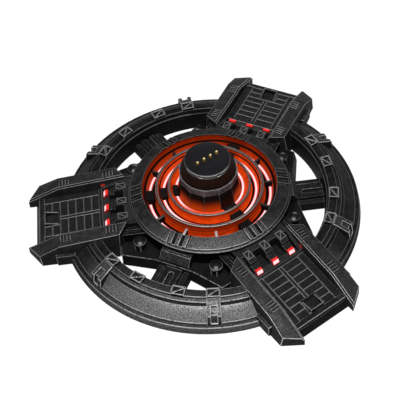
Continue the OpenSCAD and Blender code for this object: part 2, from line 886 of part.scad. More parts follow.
// Red lenses with a sloped face towards the tip
module lenses() {
  z0 = led_floor_z + board_t;
  u0 = lens_u - lens_len / 2;
  color(lit_red)
    for (a = ARM_ANGLES, v = [-lens_v, 0, lens_v])
      rotate(a)
        side_profile([[u0, z0], [u0 + lens_len, z0], [u0 + lens_len, z0 + 0.5],
          [u0 + lens_len * 0.55, lens_top_z], [u0, lens_top_z]], v - lens_w / 2, v + lens_w / 2);
}

// Gussets between the rails' inner ends and the hub housing
module rail_gussets() {
  v0 = edge_v;
  v1 = edge_v + 3.7;
  gusset_h = 4.4;
  color(casting_dark)
    for (a = ARM_ANGLES, s = [0, 1])
      rotate(a)
        mirror([0, s, 0])
          difference() {
            translate([0, 0, hub_z])
              linear_extrude(gusset_h)
                polygon([[housing_r - 6, v0], [rail_end(v0), v0], [rail_end(v1), v1], [housing_r - 6, v1]]);
            cylinder(r = housing_r, h = 20);
            translate([housing_r - 6, v0 + 1.5, hub_z + gusset_h - 0.6])
              cube([20, 0.7, 2]);
          }
}

// Housing of the well, standing on the hub plate
module hub_housing() {
  color(casting_dark)
    rotate_extrude()
      polygon([[wire_hole_r, hub_z], [housing_r, hub_z], [housing_r, collar_base_z], [liner_r, collar_base_z],
        [liner_r, floor_z], [wire_hole_r, floor_z]]);
}

module clamp_places() {
  for (a = [30 : 60 : 330])
    rotate(a)
      children();
}

// Sloped collar around the well, with a pocket for each clamp
module hub_collar() {
  half = clamp_w / 2 + clamp_gap;
  color(worn_casting)
    difference() {
      rotate_extrude()
        polygon(collar_section);
      clamp_places()
        translate([collar_in_r - 2, -half, clamp_z])
          cube([10, 2 * half, 5]);
    }
}

// A slice of a clamp from w0 to w1 across it, with its top lowered by drop
module clamp_slice(w0, w1, drop) {
  out_r = collar_r - 0.75;
  in_r = collar_in_r + 0.15;
  intersection() {
    rotate_extrude()
      polygon([[liner_r, clamp_z], [out_r, clamp_z], [out_r, collar_base_z + 1.7 + clamp_rise - drop],
        [in_r, collar_z + clamp_rise - drop], [in_r, liner_top_z], [liner_r, liner_top_z]]);
    translate([collar_in_r - 2, w0, clamp_z])
      cube([10, w1 - w0, 5]);
  }
}

// Ribbed clamps that fill the collar's pockets: three ribs on a lower bed
module collar_clamps() {
  rib = clamp_w / 5;
  color(worn_casting)
    clamp_places() {
      clamp_slice(-clamp_w / 2, clamp_w / 2, clamp_groove);
      for (i = [-2, 0, 2])
        clamp_slice((i - 0.5) * rib, (i + 0.5) * rib, 0);
    }
}

module light_board() {
  color(board_green)
    rotate_extrude()
      polygon([[bore_r + 0.1, floor_z], [liner_r, floor_z], [liner_r, light_board_z],
        [bore_r + 0.1, light_board_z]]);
}

// Stepped funnel of lit plastic
module light_liner() {
  color(lit_orange)
    rotate_extrude()
      polygon(liner_section);
}

// A narrow cap on a ridge of the liner, with its top edges broken
module ridge_ring(at, half) {
  color(worn_casting)
    rotate_extrude()
      polygon([[at[0] - half, at[1] - ridge_cap], [at[0] + half, at[1] - ridge_cap],
        [at[0] + half, at[1] - 0.15], [at[0] + half - 0.15, at[1]], [at[0] - half + 0.15, at[1]],
        [at[0] - half, at[1] - 0.15]]);
}

module middle_ring() {
  ridge_ring(middle_ring_at, middle_ring_half);
}

module inner_ring() {
  ridge_ring(inner_ring_at, inner_ring_half);
}

// Radial walls that part the light: twelve in the outer channel, one per arm in the others
module divider_bars(widen) {
  for (a = [0 : 30 : 330]) {
    wide = len(search(a, ARM_ANGLES)) > 0;
    w = (wide ? spacer_w : divider_t) + widen;
    rotate(a)
      translate([inner_strip[0] - 3, -w / 2, 0])
        cube([collar_in_r, w, 20]);
  }
}

module spacer_bars(widen) {
  for (a = ARM_ANGLES)
    rotate(a)
      translate([0, -(spacer_w + widen) / 2, 0])
        cube([collar_in_r, spacer_w + widen, 20]);
}

module channel_dividers() {
  color(casting_dark) {
    intersection() {
      rotate_extrude()
        polygon([outer_ridge_wall[0], [outer_wall_foot, outer_floor[1]], [outer_wall_foot + 0.6, ledge_z],
          [wall_at(outer_ridge_wall, ledge_z), ledge_z]]);
      divider_bars(0);
    }
    intersection() {
      rotate_extrude()
        polygon([middle_ridge_wall[0], [middle_wall_foot, middle_floor[1]],
          [middle_wall_foot + 0.5, middle_step_z],
          [wall_at(middle_ridge_wall, middle_step_z), middle_step_z]]);
      spacer_bars(0);
    }
    intersection() {
      rotate_extrude()
        polygon([[foot_r + 0.05, inner_floor[1]], [inner_wall_foot, inner_floor[1]],
          [inner_wall_foot + 0.8, inner_step_z], [foot_r + 0.05, inner_step_z]]);
      spacer_bars(0);
    }
  }
}

// A flat light strip in the floor of a channel
module strip_ring(at) {
  rotate_extrude()
    polygon([[at[0] - strip_w / 2, at[1] - strip_t], [at[0] + strip_w / 2, at[1] - strip_t],
      [at[0] + strip_w / 2, at[1]], [at[0] - strip_w / 2, at[1]]]);
}

module outer_light_strip() {
  color(lit_white)
    difference() {
      strip_ring(outer_strip);
      divider_bars(0.1);
    }
}

module middle_light_strip() {
  color(lit_white)
    difference() {
      strip_ring(middle_strip);
      spacer_bars(0.1);
    }
}

module inner_light_strip() {
  color(lit_white)
    difference() {
      strip_ring(inner_strip);
      spacer_bars(0.1);
    }
}

// A twelve-sided prism or cone whose flats face the same way on every tier of the post
module twelve_sided(r0, r1, z0, z1) {
  rotate(15)
    translate([0, 0, z0])
      cylinder(r1 = r0, r2 = r1, h = z1 - z0, $fn = 12);
}

// Flared pedestal of the post
module pedestal() {
  color(casting)
    difference() {
      union() {
        translate([0, 0, floor_z])
          cylinder(r = bore_r, h = inner_floor[1] - floor_z + 0.5);
        twelve_sided(foot_r, pedestal_r, inner_floor[1], pedestal_z);
      }
      cylinder(r = post_bore_r, h = pedestal_z + 1);
    }
}

// Segmented band, scored at its corners
module pedestal_band() {
  color(worn_casting)
    difference() {
      twelve_sided(post_band_r, post_band_r, pedestal_z, post_band_z);
      cylinder(r = post_bore_r, h = post_band_z + 1);
      for (a = [15 : 30 : 345])
        rotate(a)
          translate([post_band_r - 0.4, -0.15, pedestal_z - 1])
            cube([2, 0.3, 10]);
    }
}

module neck() {
  color([0.12, 0.04, 0.02])
    rotate_extrude()
      polygon([[neck_in_r, post_band_z], [post_band_r - 0.7, post_band_z],
        [post_band_r - 0.9, post_band_z + 1.6], [head_r + 0.5, neck_z - 0.6], [head_r + 0.1, neck_z],
        [neck_in_r, neck_z]]);
}

// Ring around the contact disc, with a pair of notches beside each grip
module head_ring() {
  notch_z = neck_z + 0.4;
  color(worn_casting)
    difference() {
      rotate_extrude()
        polygon([[head_floor_r, neck_z], [head_r, neck_z], [head_r, disc_z - 0.6],
          [head_r - 0.25, disc_z - 0.2], [disc_r, disc_z - 0.2], [disc_r, head_step_z],
          [head_floor_r, head_step_z]]);
      for (a = [0 : 120 : 240], s = [-1, 1])
        rotate(a + s * 24)
          translate([head_r - 0.35, -notch_w / 2, notch_z])
            cube([2, notch_w, 1.1]);
    }
}

module magnet_places() {
  for (s = [-1, 1])
    translate([0, s * magnet_y, boss_z])
      children();
}

// Black disc that carries the contacts
module contact_disc() {
  color([0.03, 0.03, 0.035])
    difference() {
      union() {
        translate([0, 0, head_step_z])
          cylinder(r = disc_r, h = disc_z - head_step_z);
        translate([0, 0, boss_z])
          cylinder(r = disc_boss_r, h = head_step_z - boss_z);
      }
      for (i = PINS)
        translate([pin_x(i), 0, boss_z - 1])
          cylinder(r = barrel_r, h = 10);
      magnet_places()
        cylinder(r = magnet_r, h = magnet_h);
    }
}

module head_magnets() {
  color(steel)
    magnet_places()
      cylinder(r = magnet_r, h = magnet_h);
}

module pin_board() {
  color(board_green)
    translate([0, 0, pin_board_z])
      cylinder(r = disc_boss_r, h = board_t);
}

// Sleeves of the spring contacts, pressed into the disc
module pin_barrels() {
  color(gold)
    for (i = PINS)
      translate([pin_x(i), 0, 0])
        difference() {
          translate([0, 0, boss_z])
            cylinder(r = barrel_r, h = disc_z - boss_z);
          translate([0, 0, barrel_floor_z])
            cylinder(r = barrel_bore_r, h = barrel_roof_z - barrel_floor_z);
          translate([0, 0, barrel_roof_z - 0.1])
            cylinder(r = barrel_mouth_r, h = 2);
        }
}

// A plunger: flange inside the sleeve, round tip above the disc
module plunger(i) {
  tip_z = disc_z + pin_h - pin_r;
  color(gold)
    translate([pin_x(i), 0, 0]) {
      translate([0, 0, flange_top_z - flange_t])
        cylinder(r = flange_r, h = flange_t);
      translate([0, 0, flange_top_z - flange_t / 2])
        cylinder(r = pin_r, h = tip_z - flange_top_z + flange_t / 2);
      translate([0, 0, tip_z])
        sphere(r = pin_r);
    }
}

module plunger_1() {
  plunger(1);
}

module plunger_2() {
  plunger(2);
}

module plunger_3() {
  plunger(3);
}

module plunger_4() {
  plunger(4);
}

// A coil swept along its helix, closed at both ends
module pin_spring(i) {
  sides = 6;
  steps = 14 * spring_turns;
  z0 = barrel_floor_z + spring_wire_r;
  rise = flange_top_z - flange_t - barrel_floor_z - 2 * spring_wire_r;
  points = [for (k = [0 : steps], j = [0 : sides - 1])
    let (a = 360 * spring_turns * k / steps, b = 360 * j / sides, r = spring_r + spring_wire_r * cos(b))
    [r * cos(a), r * sin(a), z0 + rise * k / steps + spring_wire_r * sin(b)]];
  walls = [for (k = [0 : steps - 1], j = [0 : sides - 1])
    let (n = (j + 1) % sides)
    [k * sides + j, (k + 1) * sides + j, (k + 1) * sides + n, k * sides + n]];
  ends = [[for (j = [0 : sides - 1]) j], [for (j = [sides - 1 : -1 : 0]) steps * sides + j]];
  color(steel)
    translate([pin_x(i), 0, 0])
      polyhedron(points, concat(walls, ends));
}

module pin_spring_1() {
  pin_spring(1);
}

module pin_spring_2() {
  pin_spring(2);
}

module pin_spring_3() {
  pin_spring(3);
}

module pin_spring_4() {
  pin_spring(4);
}

// Main board with its chips below and the lead's connector above
module main_board() {
  color(board_green) {
    translate([0, 0, main_board_z])
      cylinder(r = main_board_r, h = board_t);
    for (a = [40 : 80 : 320])
      rotate(a)
        translate([8, -2.5, main_board_z - 0.7])
          cube([5, 5, board_t]);
    rotate(ARM_ANGLES[RIGHT])
      translate([connector_u[0], -1.5, main_board_z])
        cube([connector_u[1] - connector_u[0], 3, cavity_z - main_board_z - 0.05]);
  }
}

module bottom_cover() {
  color(casting_dark)
    difference() {
      translate([0, 0, base_z])
        cylinder(r = cover_r, h = cover_t);
      cylinder(r = hub_pad_r, h = base_z + pad_sink);
      screw_places() {
        cylinder(r = screw_r + 0.1, h = 5);
        cylinder(r = screw_head_r + 0.1, h = base_z + screw_head_t);
      }
    }
}

// Flat-headed screws that hold the cover
module cover_screws() {
  socket = 0.7;
  color(steel)
    screw_places()
      difference() {
        union() {
          translate([0, 0, base_z])
            cylinder(r = screw_head_r, h = screw_head_t);
          translate([0, 0, base_z])
            cylinder(r = screw_r, h = cavity_z - base_z - 0.1);
        }
        cylinder(r = socket, h = base_z + 0.4, $fn = 6);
      }
}

// Rubber pads: one under the hub, six under the ring
module foot_pads() {
  color(rubber) {
    cylinder(r = hub_pad_r, h = base_z + pad_sink);
    pad_places()
      cylinder(r = ring_pad_r, h = base_z + pad_sink);
  }
}

// Power socket: metal shell with a tongue, and a solder tab for the lead
module power_socket() {
  tongue_t = 0.7;
  color(steel)
    rotate(ARM_ANGLES[RIGHT]) {
      difference() {
        translate([socket_u, 0, 0])
          socket_oval(0, socket_len);
        translate([socket_u + 1, 0, 0])
          socket_oval(socket_wall, socket_len);
      }
      translate([socket_u + 0.5, -3.3, socket_z - tongue_t / 2])
        cube([5.2, 6.6, tongue_t]);
      translate([tab_u, -1.2, tab_z[0]])
        cube([socket_u - tab_u, 2.4, tab_z[1] - tab_z[0]]);
    }
}

// Lead through the right arm, from the socket's tab to the main board's connector
module power_lead() {
  color(rubber)
    rotate(ARM_ANGLES[RIGHT])
      translate([connector_u[1], 0, lead_z])
        rotate([0, 90, 0])
          cylinder(r = lead_r, h = tab_u - connector_u[1]);
}

base_ring();
ring_plates();
ring_straps();
spoke_rear();
spoke_left();
spoke_right();
spoke_planks();
spoke_blocks();
hub_plate();
guide_knobs();
arm_body_front();
arm_body_right();
arm_body_left();
deck_front();
deck_right();
deck_left();
rails_front();
rails_right();
rails_left();
light_frame_front();
light_frame_right();
light_frame_left();
lens_boards();
lenses();
rail_gussets();
hub_housing();
hub_collar();
collar_clamps();
light_board();
light_liner();
middle_ring();
inner_ring();
channel_dividers();
outer_light_strip();
middle_light_strip();
inner_light_strip();
pedestal();
pedestal_band();
neck();
head_ring();
contact_disc();
head_magnets();
pin_board();
pin_barrels();
plunger_1();
plunger_2();
plunger_3();
plunger_4();
pin_spring_1();
pin_spring_2();
pin_spring_3();
pin_spring_4();
main_board();
bottom_cover();
cover_screws();
foot_pads();
power_socket();
power_lead();
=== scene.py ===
import math

import bmesh
import bpy
from mathutils import Matrix, Vector


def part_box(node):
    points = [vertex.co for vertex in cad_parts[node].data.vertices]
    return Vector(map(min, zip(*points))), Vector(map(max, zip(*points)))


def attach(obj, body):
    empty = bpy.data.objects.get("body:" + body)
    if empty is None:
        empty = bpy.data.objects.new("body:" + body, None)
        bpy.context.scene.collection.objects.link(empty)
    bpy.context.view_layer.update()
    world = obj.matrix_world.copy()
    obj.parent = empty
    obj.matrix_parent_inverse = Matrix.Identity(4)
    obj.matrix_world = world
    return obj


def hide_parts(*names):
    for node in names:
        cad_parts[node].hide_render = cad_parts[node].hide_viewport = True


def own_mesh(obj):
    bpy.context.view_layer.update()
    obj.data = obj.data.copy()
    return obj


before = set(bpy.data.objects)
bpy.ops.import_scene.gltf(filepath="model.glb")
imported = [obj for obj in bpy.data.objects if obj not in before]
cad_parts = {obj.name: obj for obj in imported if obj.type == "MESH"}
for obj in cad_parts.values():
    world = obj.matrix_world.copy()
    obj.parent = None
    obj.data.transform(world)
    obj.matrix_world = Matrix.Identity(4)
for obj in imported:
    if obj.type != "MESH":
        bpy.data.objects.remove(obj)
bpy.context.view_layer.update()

# Camera: it stands before the dock's front left, a little over half a right angle up, and looks
# down on the centre post through a long lens.
MM = 0.001
SENSOR = 36.0
FOCAL_SHARE = 2.625
SHIFT_ACROSS = -0.075
SHIFT_UP = -0.0225
CLIP_NEAR = 0.01
CLIP_FAR = 20
azimuth = math.radians(-34.57)
elevation = math.radians(49.59)
roll = math.radians(-3.305)
distance = 424.49 * MM
aim_right = 7.96 * MM
aim_up = 6.70 * MM


def heading(turn, rise):
    """The direction from the dock to a place, by its turn from the front and its rise."""
    return Vector((math.sin(turn) * math.cos(rise), -math.cos(turn) * math.cos(rise), math.sin(rise)))


back = heading(azimuth, elevation)
level = Vector((math.cos(azimuth), math.sin(azimuth), 0))
upward = back.cross(level)
across = level * math.cos(roll) + upward * math.sin(roll)
upright = upward * math.cos(roll) - level * math.sin(roll)
eye = level * aim_right + upward * aim_up + back * distance
lens = bpy.data.cameras.new("camera")
lens.sensor_width = SENSOR
lens.lens = SENSOR * FOCAL_SHARE
lens.shift_x = SHIFT_ACROSS
lens.shift_y = SHIFT_UP
lens.clip_start = CLIP_NEAR
lens.clip_end = CLIP_FAR
camera = bpy.data.objects.new("camera", lens)
camera.matrix_world = Matrix((
    (across.x, upright.x, back.x, eye.x),
    (across.y, upright.y, back.y, eye.y),
    (across.z, upright.z, back.z, eye.z),
    (0, 0, 0, 1)))
bpy.context.scene.collection.objects.link(camera)
bpy.context.scene.camera = camera
bpy.context.scene.view_settings.view_transform = "Standard"


# Studio: a pale paper floor that runs far out, a softbox overhead and a little to the front, a low
# strip light behind and a dim even room.
FLOOR_HALF = 4.0
FLOOR_DROP = 0.02 * MM
FLOOR_GLOW = 0.86
FLOOR_TINT = 0.22
FLOOR_BOUNCE = 0.25
ROOM_LEVEL = 0.09


def link_mesh(name, mesh):
    """A new object that holds a mesh, at the origin."""
    made = bpy.data.objects.new(name, mesh)
    bpy.context.scene.collection.objects.link(made)
    return made


floor_mesh = bpy.data.meshes.new("floor")
floor_mesh.from_pydata(
    [(x * FLOOR_HALF, y * FLOOR_HALF, -FLOOR_DROP) for x, y in ((-1, -1), (1, -1), (1, 1), (-1, 1))],
    [], [(0, 1, 2, 3)])
floor = link_mesh("floor", floor_mesh)
paper = bpy.data.materials.new("paper")
paper.use_nodes = True
tree = paper.node_tree
tree.nodes.clear()
rays = tree.nodes.new("ShaderNodeLightPath")
seen = tree.nodes.new("ShaderNodeMath")
seen.operation = "MAXIMUM"
seen_all = tree.nodes.new("ShaderNodeMath")
seen_all.operation = "MAXIMUM"
glow = tree.nodes.new("ShaderNodeEmission")
glow.inputs["Strength"].default_value = FLOOR_GLOW
shade = tree.nodes.new("ShaderNodeBsdfDiffuse")
shade.inputs["Color"].default_value = (FLOOR_TINT, FLOOR_TINT, FLOOR_TINT, 1)
bounce = tree.nodes.new("ShaderNodeBsdfDiffuse")
bounce.inputs["Color"].default_value = (FLOOR_BOUNCE, FLOOR_BOUNCE, FLOOR_BOUNCE, 1)
both = tree.nodes.new("ShaderNodeAddShader")
pick = tree.nodes.new("ShaderNodeMixShader")
surface = tree.nodes.new("ShaderNodeOutputMaterial")
tree.links.new(rays.outputs["Is Camera Ray"], seen.inputs[0])
tree.links.new(rays.outputs["Is Glossy Ray"], seen.inputs[1])
tree.links.new(seen.outputs[0], seen_all.inputs[0])
tree.links.new(rays.outputs["Is Transmission Ray"], seen_all.inputs[1])
tree.links.new(glow.outputs[0], both.inputs[0])
tree.links.new(shade.outputs[0], both.inputs[1])
tree.links.new(seen_all.outputs[0], pick.inputs["Fac"])
tree.links.new(bounce.outputs[0], pick.inputs[1])
tree.links.new(both.outputs[0], pick.inputs[2])
tree.links.new(pick.outputs[0], surface.inputs["Surface"])
floor_mesh.materials.append(paper)

room = bpy.data.worlds.new("room")
room.use_nodes = True
room.node_tree.nodes["Background"].inputs["Color"].default_value = (1, 1, 1, 1)
room.node_tree.nodes["Background"].inputs["Strength"].default_value = ROOM_LEVEL
bpy.context.scene.world = room


def softbox(name, side, height, reach, wide, tall, power):
    """A lamp that faces the dock, placed by its turn from the camera and its height, in degrees."""
    lamp = bpy.data.lights.new(name, "AREA")
    lamp.shape = "RECTANGLE"
    lamp.size = wide
    lamp.size_y = tall
    lamp.energy = power
    toward = heading(azimuth + math.radians(side), math.radians(height))
    made = bpy.data.objects.new(name, lamp)
    made.rotation_mode = "QUATERNION"
    made.rotation_quaternion = toward.to_track_quat("Z", "Y")
    made.location = toward * reach
    bpy.context.scene.collection.objects.link(made)


softbox("overhead_softbox", side=-4, height=72, reach=0.9, wide=0.46, tall=0.40, power=7.6)
softbox("rear_strip", side=172, height=20, reach=0.9, wide=0.5, tall=0.16, power=1.6)


# Base ring: one zinc casting with a drafted rim, a sloped band, a groove and a raised top walk.
# It is painted charcoal and rubbed back by hand, most on the band, so bare grey shows as a grain
# and along every edge. The bare grey grows towards the front left, which is a painted highlight.
CHARCOAL = (0.007, 0.007, 0.0075)
CHARCOAL_PALE = (0.034, 0.033, 0.034)
RUBBED = (0.32, 0.315, 0.32)
EDGE_BARE = (0.44, 0.435, 0.435)
RING_PALE = (0.026, 0.0255, 0.026)
RING_RUBBED = (0.62, 0.61, 0.62)
SPILL_RED = (0.8, 0.05, 0.01)
FINE_DETAIL = 3.0
CLOUD_SIZE = 3.0
CLOUD_DETAIL = 5.0
CLOUD_RANGE = (0.36, 0.64)
SPECK_SIZE = 0.33
SPECK_SHARP = 0.62
FADE_RANGE = (0.38, 0.62)
BARE_RANGE = (0.38, 0.64)
BARE_LEAST = 0.12
WALL_TO_TOP = (0.1, 0.6)
UNDER_TO_WALL = (-0.6, -0.3)
SHINE_RANGE = (0.3, 0.7)
SHINE_SPREAD = 0.08
RELIEF_DEPTH = 0.04
RELIEF_STRENGTH = 0.6
EDGE_PATCH = 0.8
EDGE_METAL = 0.4
WELD = 0.002 * MM
SHARP = 28.0
THIN_STRIP = 2.1
STRIP_LEVEL = 0.3
FOLD = -0.9
FOLD_PASSES = 4
FRONT_X = -0.57
FRONT_Y = -0.82
FRONT_BEGINS = 0.45
FRONT_FULL = 0.95
RING_ROUND = 0.26
RING_FRONT = 56
RING_OUTER = 75.0
RING_WALK = [(44, 0.06), (50.3, 0.10), (50.5, 0.40), (52.0, 0.40)]
RING_GROOVE = [(52.2, 0.02), (52.9, 0.02)]
RING_BAND = [(53.1, 0.88), (57.1, 0.78)]
RING_RIM = [(57.3, 0.12), (59.2, 0.16), (59.4, 0.42)]


def grey(level):
    """A neutral colour of one level."""
    return (level, level, level)


def new_finish(name, roughness, specular):
    """A new material, with its shader and a maker of nodes whose inputs are set or linked by name."""
    made = bpy.data.materials.new(name)
    made.use_nodes = True
    nodes = made.node_tree.nodes
    links = made.node_tree.links
    shader = nodes["Principled BSDF"]
    shader.inputs["Roughness"].default_value = roughness
    shader.inputs["Specular IOR Level"].default_value = specular

    def put(socket, value):
        if isinstance(value, bpy.types.NodeSocket):
            links.new(value, socket)
        elif isinstance(value, tuple) and len(value) == 3 and socket.type == "RGBA":
            socket.default_value = (*value, 1)
        else:
            socket.default_value = value

    def add(kind, inputs=None, **settings):
        node = nodes.new("ShaderNode" + kind)
        for key, value in settings.items():
            setattr(node, key, value)
        for key, value in (inputs or {}).items():
            put(node.inputs[key], value)
        return node

    return made, shader, put, add


def noise(add, size, detail=2.0, sharp=0.5):
    """Noise over the piece's own coordinates, with specks of about that size in millimetres."""
    place = add("TexCoord").outputs["Object"]
    return add("TexNoise", {"Vector": place, "Scale": 1 / (size * MM), "Detail": detail,
                            "Roughness": sharp}).outputs["Fac"]


def between(add, value, low, high, to_low=0.0, to_high=1.0):
    """A value eased from one range to another."""
    return add("MapRange", {"Value": value, "From Min": low, "From Max": high, "To Min": to_low,
                            "To Max": to_high}, interpolation_type="SMOOTHSTEP").outputs["Result"]


def blend_colour(add, share, first, second):
    """A colour between two, by a share."""
    node = add("Mix", {"Factor": share}, data_type="RGBA")
    sockets = [s for s in node.inputs if s.type == "RGBA"]
    for socket, value in zip(sockets, (first, second)):
        if isinstance(value, bpy.types.NodeSocket):
            node.id_data.links.new(value, socket)
        else:
            socket.default_value = (*value, 1)
    return next(s for s in node.outputs if s.type == "RGBA")


def work_out(add, operation, *values):
    """One step of arithmetic on values or sockets."""
    return add("Math", dict(enumerate(values)), operation=operation).outputs[0]


def times(add, first, *others):
    """The product of values or sockets."""
    for other in others:
        first = work_out(add, "MULTIPLY", first, other)
    return first


def place_parts(add):
    """The piece's own coordinates, one by one, in metres."""
    parts = add("SeparateXYZ", {0: add("TexCoord").outputs["Object"]})
    return parts.outputs["X"], parts.outputs["Y"], parts.outputs["Z"]


def axis_radius(add):
    """Distance from the dock's axis, in metres."""
    x, y, _ = place_parts(add)
    return work_out(add, "SQRT", work_out(add, "ADD", times(add, x, x), times(add, y, y)))


def by_stops(add, value, stops, reach):
    """A value or colour that follows another value in metres, by stops of millimetres, up to a reach."""
    ramp = add("ValToRGB", {"Fac": work_out(add, "DIVIDE", value, reach * MM)})
    points = ramp.color_ramp.elements
    while len(points) < len(stops):
        points.new(1.0)
    for point, (at, shown) in zip(points, stops):
        point.position = at / reach
        point.color = (*shown, 1) if isinstance(shown, tuple) else (*grey(shown), 1)
    return ramp.outputs["Color"]


def facing_up(add):
    """How far a face looks up, from -1 to 1."""
    return add("SeparateXYZ", {0: add("TexCoord").outputs["Normal"]}).outputs["Z"]


def made_by(add, value):
    """A value as it is, or what it makes if it is a function."""
    return value(add) if callable(value) else value


def cast_paint(name, cover, paint=CHARCOAL, pale=CHARCOAL_PALE, rubbed=RUBBED, roughness=0.5, specular=0.02,
               walls=0.2, spill=None):
    """Dark paint rubbed through to metal in fine specks, less on walls and none underneath, which also
    paints walls and undersides darker as shade; cover and tones may be functions.
    """
    made, shader, put, add = new_finish(name, roughness, specular)
    clouds = between(add, noise(add, CLOUD_SIZE, CLOUD_DETAIL), *CLOUD_RANGE)
    specks = noise(add, SPECK_SIZE, FINE_DETAIL, SPECK_SHARP)
    facing = facing_up(add)
    # Walls and undersides get less wear and the darker tone: partly wear, partly painted shade.
    wear_and_shade_by_facing = times(add, between(add, facing, *WALL_TO_TOP, walls, 1.0),
                       between(add, facing, *UNDER_TO_WALL))
    faded = times(add, clouds, between(add, specks, *FADE_RANGE), wear_and_shade_by_facing)
    tone = blend_colour(add, faded, made_by(add, paint), made_by(add, pale))
    share = times(add, made_by(add, cover), wear_and_shade_by_facing)
    shown = times(add, between(add, specks, *BARE_RANGE, BARE_LEAST, 1.0), share)
    put(shader.inputs["Base Color"], blend_colour(add, shown, tone, rubbed))
    put(shader.inputs["Metallic"], shown)
    put(shader.inputs["Roughness"],
        between(add, specks, *SHINE_RANGE, roughness + SHINE_SPREAD, roughness - SHINE_SPREAD))
    bump = add("Bump", {"Height": specks, "Strength": RELIEF_STRENGTH, "Distance": RELIEF_DEPTH * MM})
    put(shader.inputs["Normal"], bump.outputs["Normal"])
    # A painted glow of a nearby lamp's light, given as emission.
    if spill:
        shader.inputs["Emission Color"].default_value = (*SPILL_RED, 1)
        put(shader.inputs["Emission Strength"], spill(add))
    return made


def bare_edge(name, bare=EDGE_BARE, paint=CHARCOAL_PALE, low=0.22, high=0.5, where=None):
    """Bare metal along an edge, where the paint has been rubbed off unevenly; where, if given, keeps it to
    the front, a painted highlight.
    """
    made, shader, put, add = new_finish(name, roughness=0.5, specular=0.1)
    shader.inputs["Metallic"].default_value = EDGE_METAL
    wear = between(add, noise(add, EDGE_PATCH, FINE_DETAIL), low, high)
    if where:
        wear = times(add, wear, where(add))
    put(shader.inputs["Base Color"], blend_colour(add, wear, paint, bare))
    return made


def regions_of(solid, bounds):
    """Each face's region between the given edges, and each region's faces, mean width and convex share."""
    place = {}
    regions = []
    for first in solid.faces:
        if first in place:
            continue
        number = len(regions)
        place[first] = number
        waiting = [first]
        faces = []
        rim = 0.0
        convex = 0.0
        while waiting:
            face = waiting.pop()
            faces.append(face)
            for edge in face.edges:
                if edge in bounds:
                    rim += edge.calc_length()
                    convex += edge.calc_length() * edge.is_convex
                    continue
                for other in edge.link_faces:
                    if other not in place:
                        place[other] = number
                        waiting.append(other)
        area = sum(face.calc_area() for face in faces)
        regions.append((faces, 2 * area / rim, convex / rim) if rim else (faces, math.inf, 0.0))
    return place, regions


def keep_sector(solid, middle, count):
    """Keeps the solids that lie in one of so many equal sectors, and turns that sector to angle 0."""
    _, regions = regions_of(solid, set())
    spare = []
    for faces, _, _ in regions:
        centre = sum((face.calc_center_median() for face in faces), Vector()) / len(faces)
        off = math.degrees(math.atan2(centre.y, centre.x)) - middle
        if abs((off + 180) % 360 - 180) > 180 / count:
            spare.extend(faces)
    bmesh.ops.delete(solid, geom=spare, context="FACES")
    bmesh.ops.rotate(solid, verts=solid.verts, matrix=Matrix.Rotation(-math.radians(middle), 3, "Z"))


def sharp_edges(solid):
    """The edges whose two faces meet at more than the sharp angle."""
    solid.normal_update()
    return {edge for edge in solid.edges
            if edge.is_manifold and edge.calc_face_angle() > math.radians(SHARP)}


def round_edges(solid, width, under, segments, skip, tight):
    """Rounds the outer edges, marks them and thin strips as worn, and flattens folded slivers.

    Tight narrows the rounding until no two roundings overlap.
    """
    sharp = sharp_edges(solid)
    place, regions = regions_of(solid, sharp)
    thin = {number for number, (_, wide, share) in enumerate(regions)
            if wide < THIN_STRIP * width * share * MM}
    outer = []
    for edge in sharp:
        lowest = min(face.normal.z for face in edge.link_faces)
        on_strip = any(place[face] in thin for face in edge.link_faces)
        left_sharp = skip is not None and skip(edge)
        if edge.is_convex and lowest > under and not on_strip and not left_sharp:
            outer.append(edge)
    for number in thin:
        for face in regions[number][0]:
            if face.normal.z > STRIP_LEVEL:
                face.material_index = 1
    outer.sort(key=lambda edge: edge.index)
    bmesh.ops.bevel(solid, geom=outer, offset=width * MM, offset_type="OFFSET", segments=segments,
                    profile=0.5, affect="EDGES", clamp_overlap=tight, material=1, loop_slide=segments > 1)
    for _ in range(FOLD_PASSES):
        solid.normal_update()
        folds = [edge for edge in solid.edges if edge.is_manifold
                 and edge.link_faces[0].normal.dot(edge.link_faces[1].normal) < FOLD]
        bmesh.ops.dissolve_edges(solid, edges=folds, use_verts=False, use_face_split=False)


def finished_mesh(node, width, under=-0.5, segments=2, sector=None, shape=None, skip=None, tight=False):
    """A copy of a node's mesh, welded and with its edges rounded, or of one sector of it."""
    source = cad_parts[node].data
    mesh = bpy.data.meshes.new(node + "_finish")
    mesh.from_pydata([corner.co for corner in source.vertices], [],
                     [side.vertices for side in source.polygons])
    solid = bmesh.new()
    solid.from_mesh(mesh)
    bmesh.ops.remove_doubles(solid, verts=solid.verts, dist=WELD)
    bmesh.ops.dissolve_degenerate(solid, dist=WELD, edges=solid.edges)
    if sector:
        keep_sector(solid, *sector)
    solid.edges.index_update()
    if width:
        round_edges(solid, width, under, segments, skip, tight)
    if shape:
        shape(solid)
    for face in solid.faces:
        face.smooth = True
    solid.to_mesh(mesh)
    solid.free()
    mesh.set_sharp_from_angle(angle=math.radians(SHARP))
    return mesh


def hand_over(made, slot, body, *nodes):
    """Ties a finished piece to its body and hides the nodes that it stands for. The slot is not used."""
    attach(made, body)
    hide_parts(*nodes)
    return made


def dress(node, face, edge, width, slot, body="dock", **settings):
    """A finished copy of one piece of the frame: same shape, edges rounded and worn."""
    mesh = finished_mesh(node, width, **settings)
    mesh.materials.append(face)
    mesh.materials.append(edge)
    return hand_over(link_mesh(node + "_finish", mesh), slot, body, node)


def to_front(add, reach, sides, front=1.0):
    """A share that changes from the sides and the back of a round piece to its front left: a mask for
    painted highlight or painted shade.
    """
    x, y, _ = place_parts(add)
    toward = work_out(add, "MULTIPLY_ADD", x, FRONT_X, times(add, y, FRONT_Y))
    return between(add, toward, FRONT_BEGINS * reach * MM, FRONT_FULL * reach * MM, sides, front)


def wear_with_front_highlight(reach, sides, front=1.0):
    """A maker of such a share, for a material whose wear is made brighter to the front: a painted highlight.
    """
    return lambda add: to_front(add, reach, sides, front)


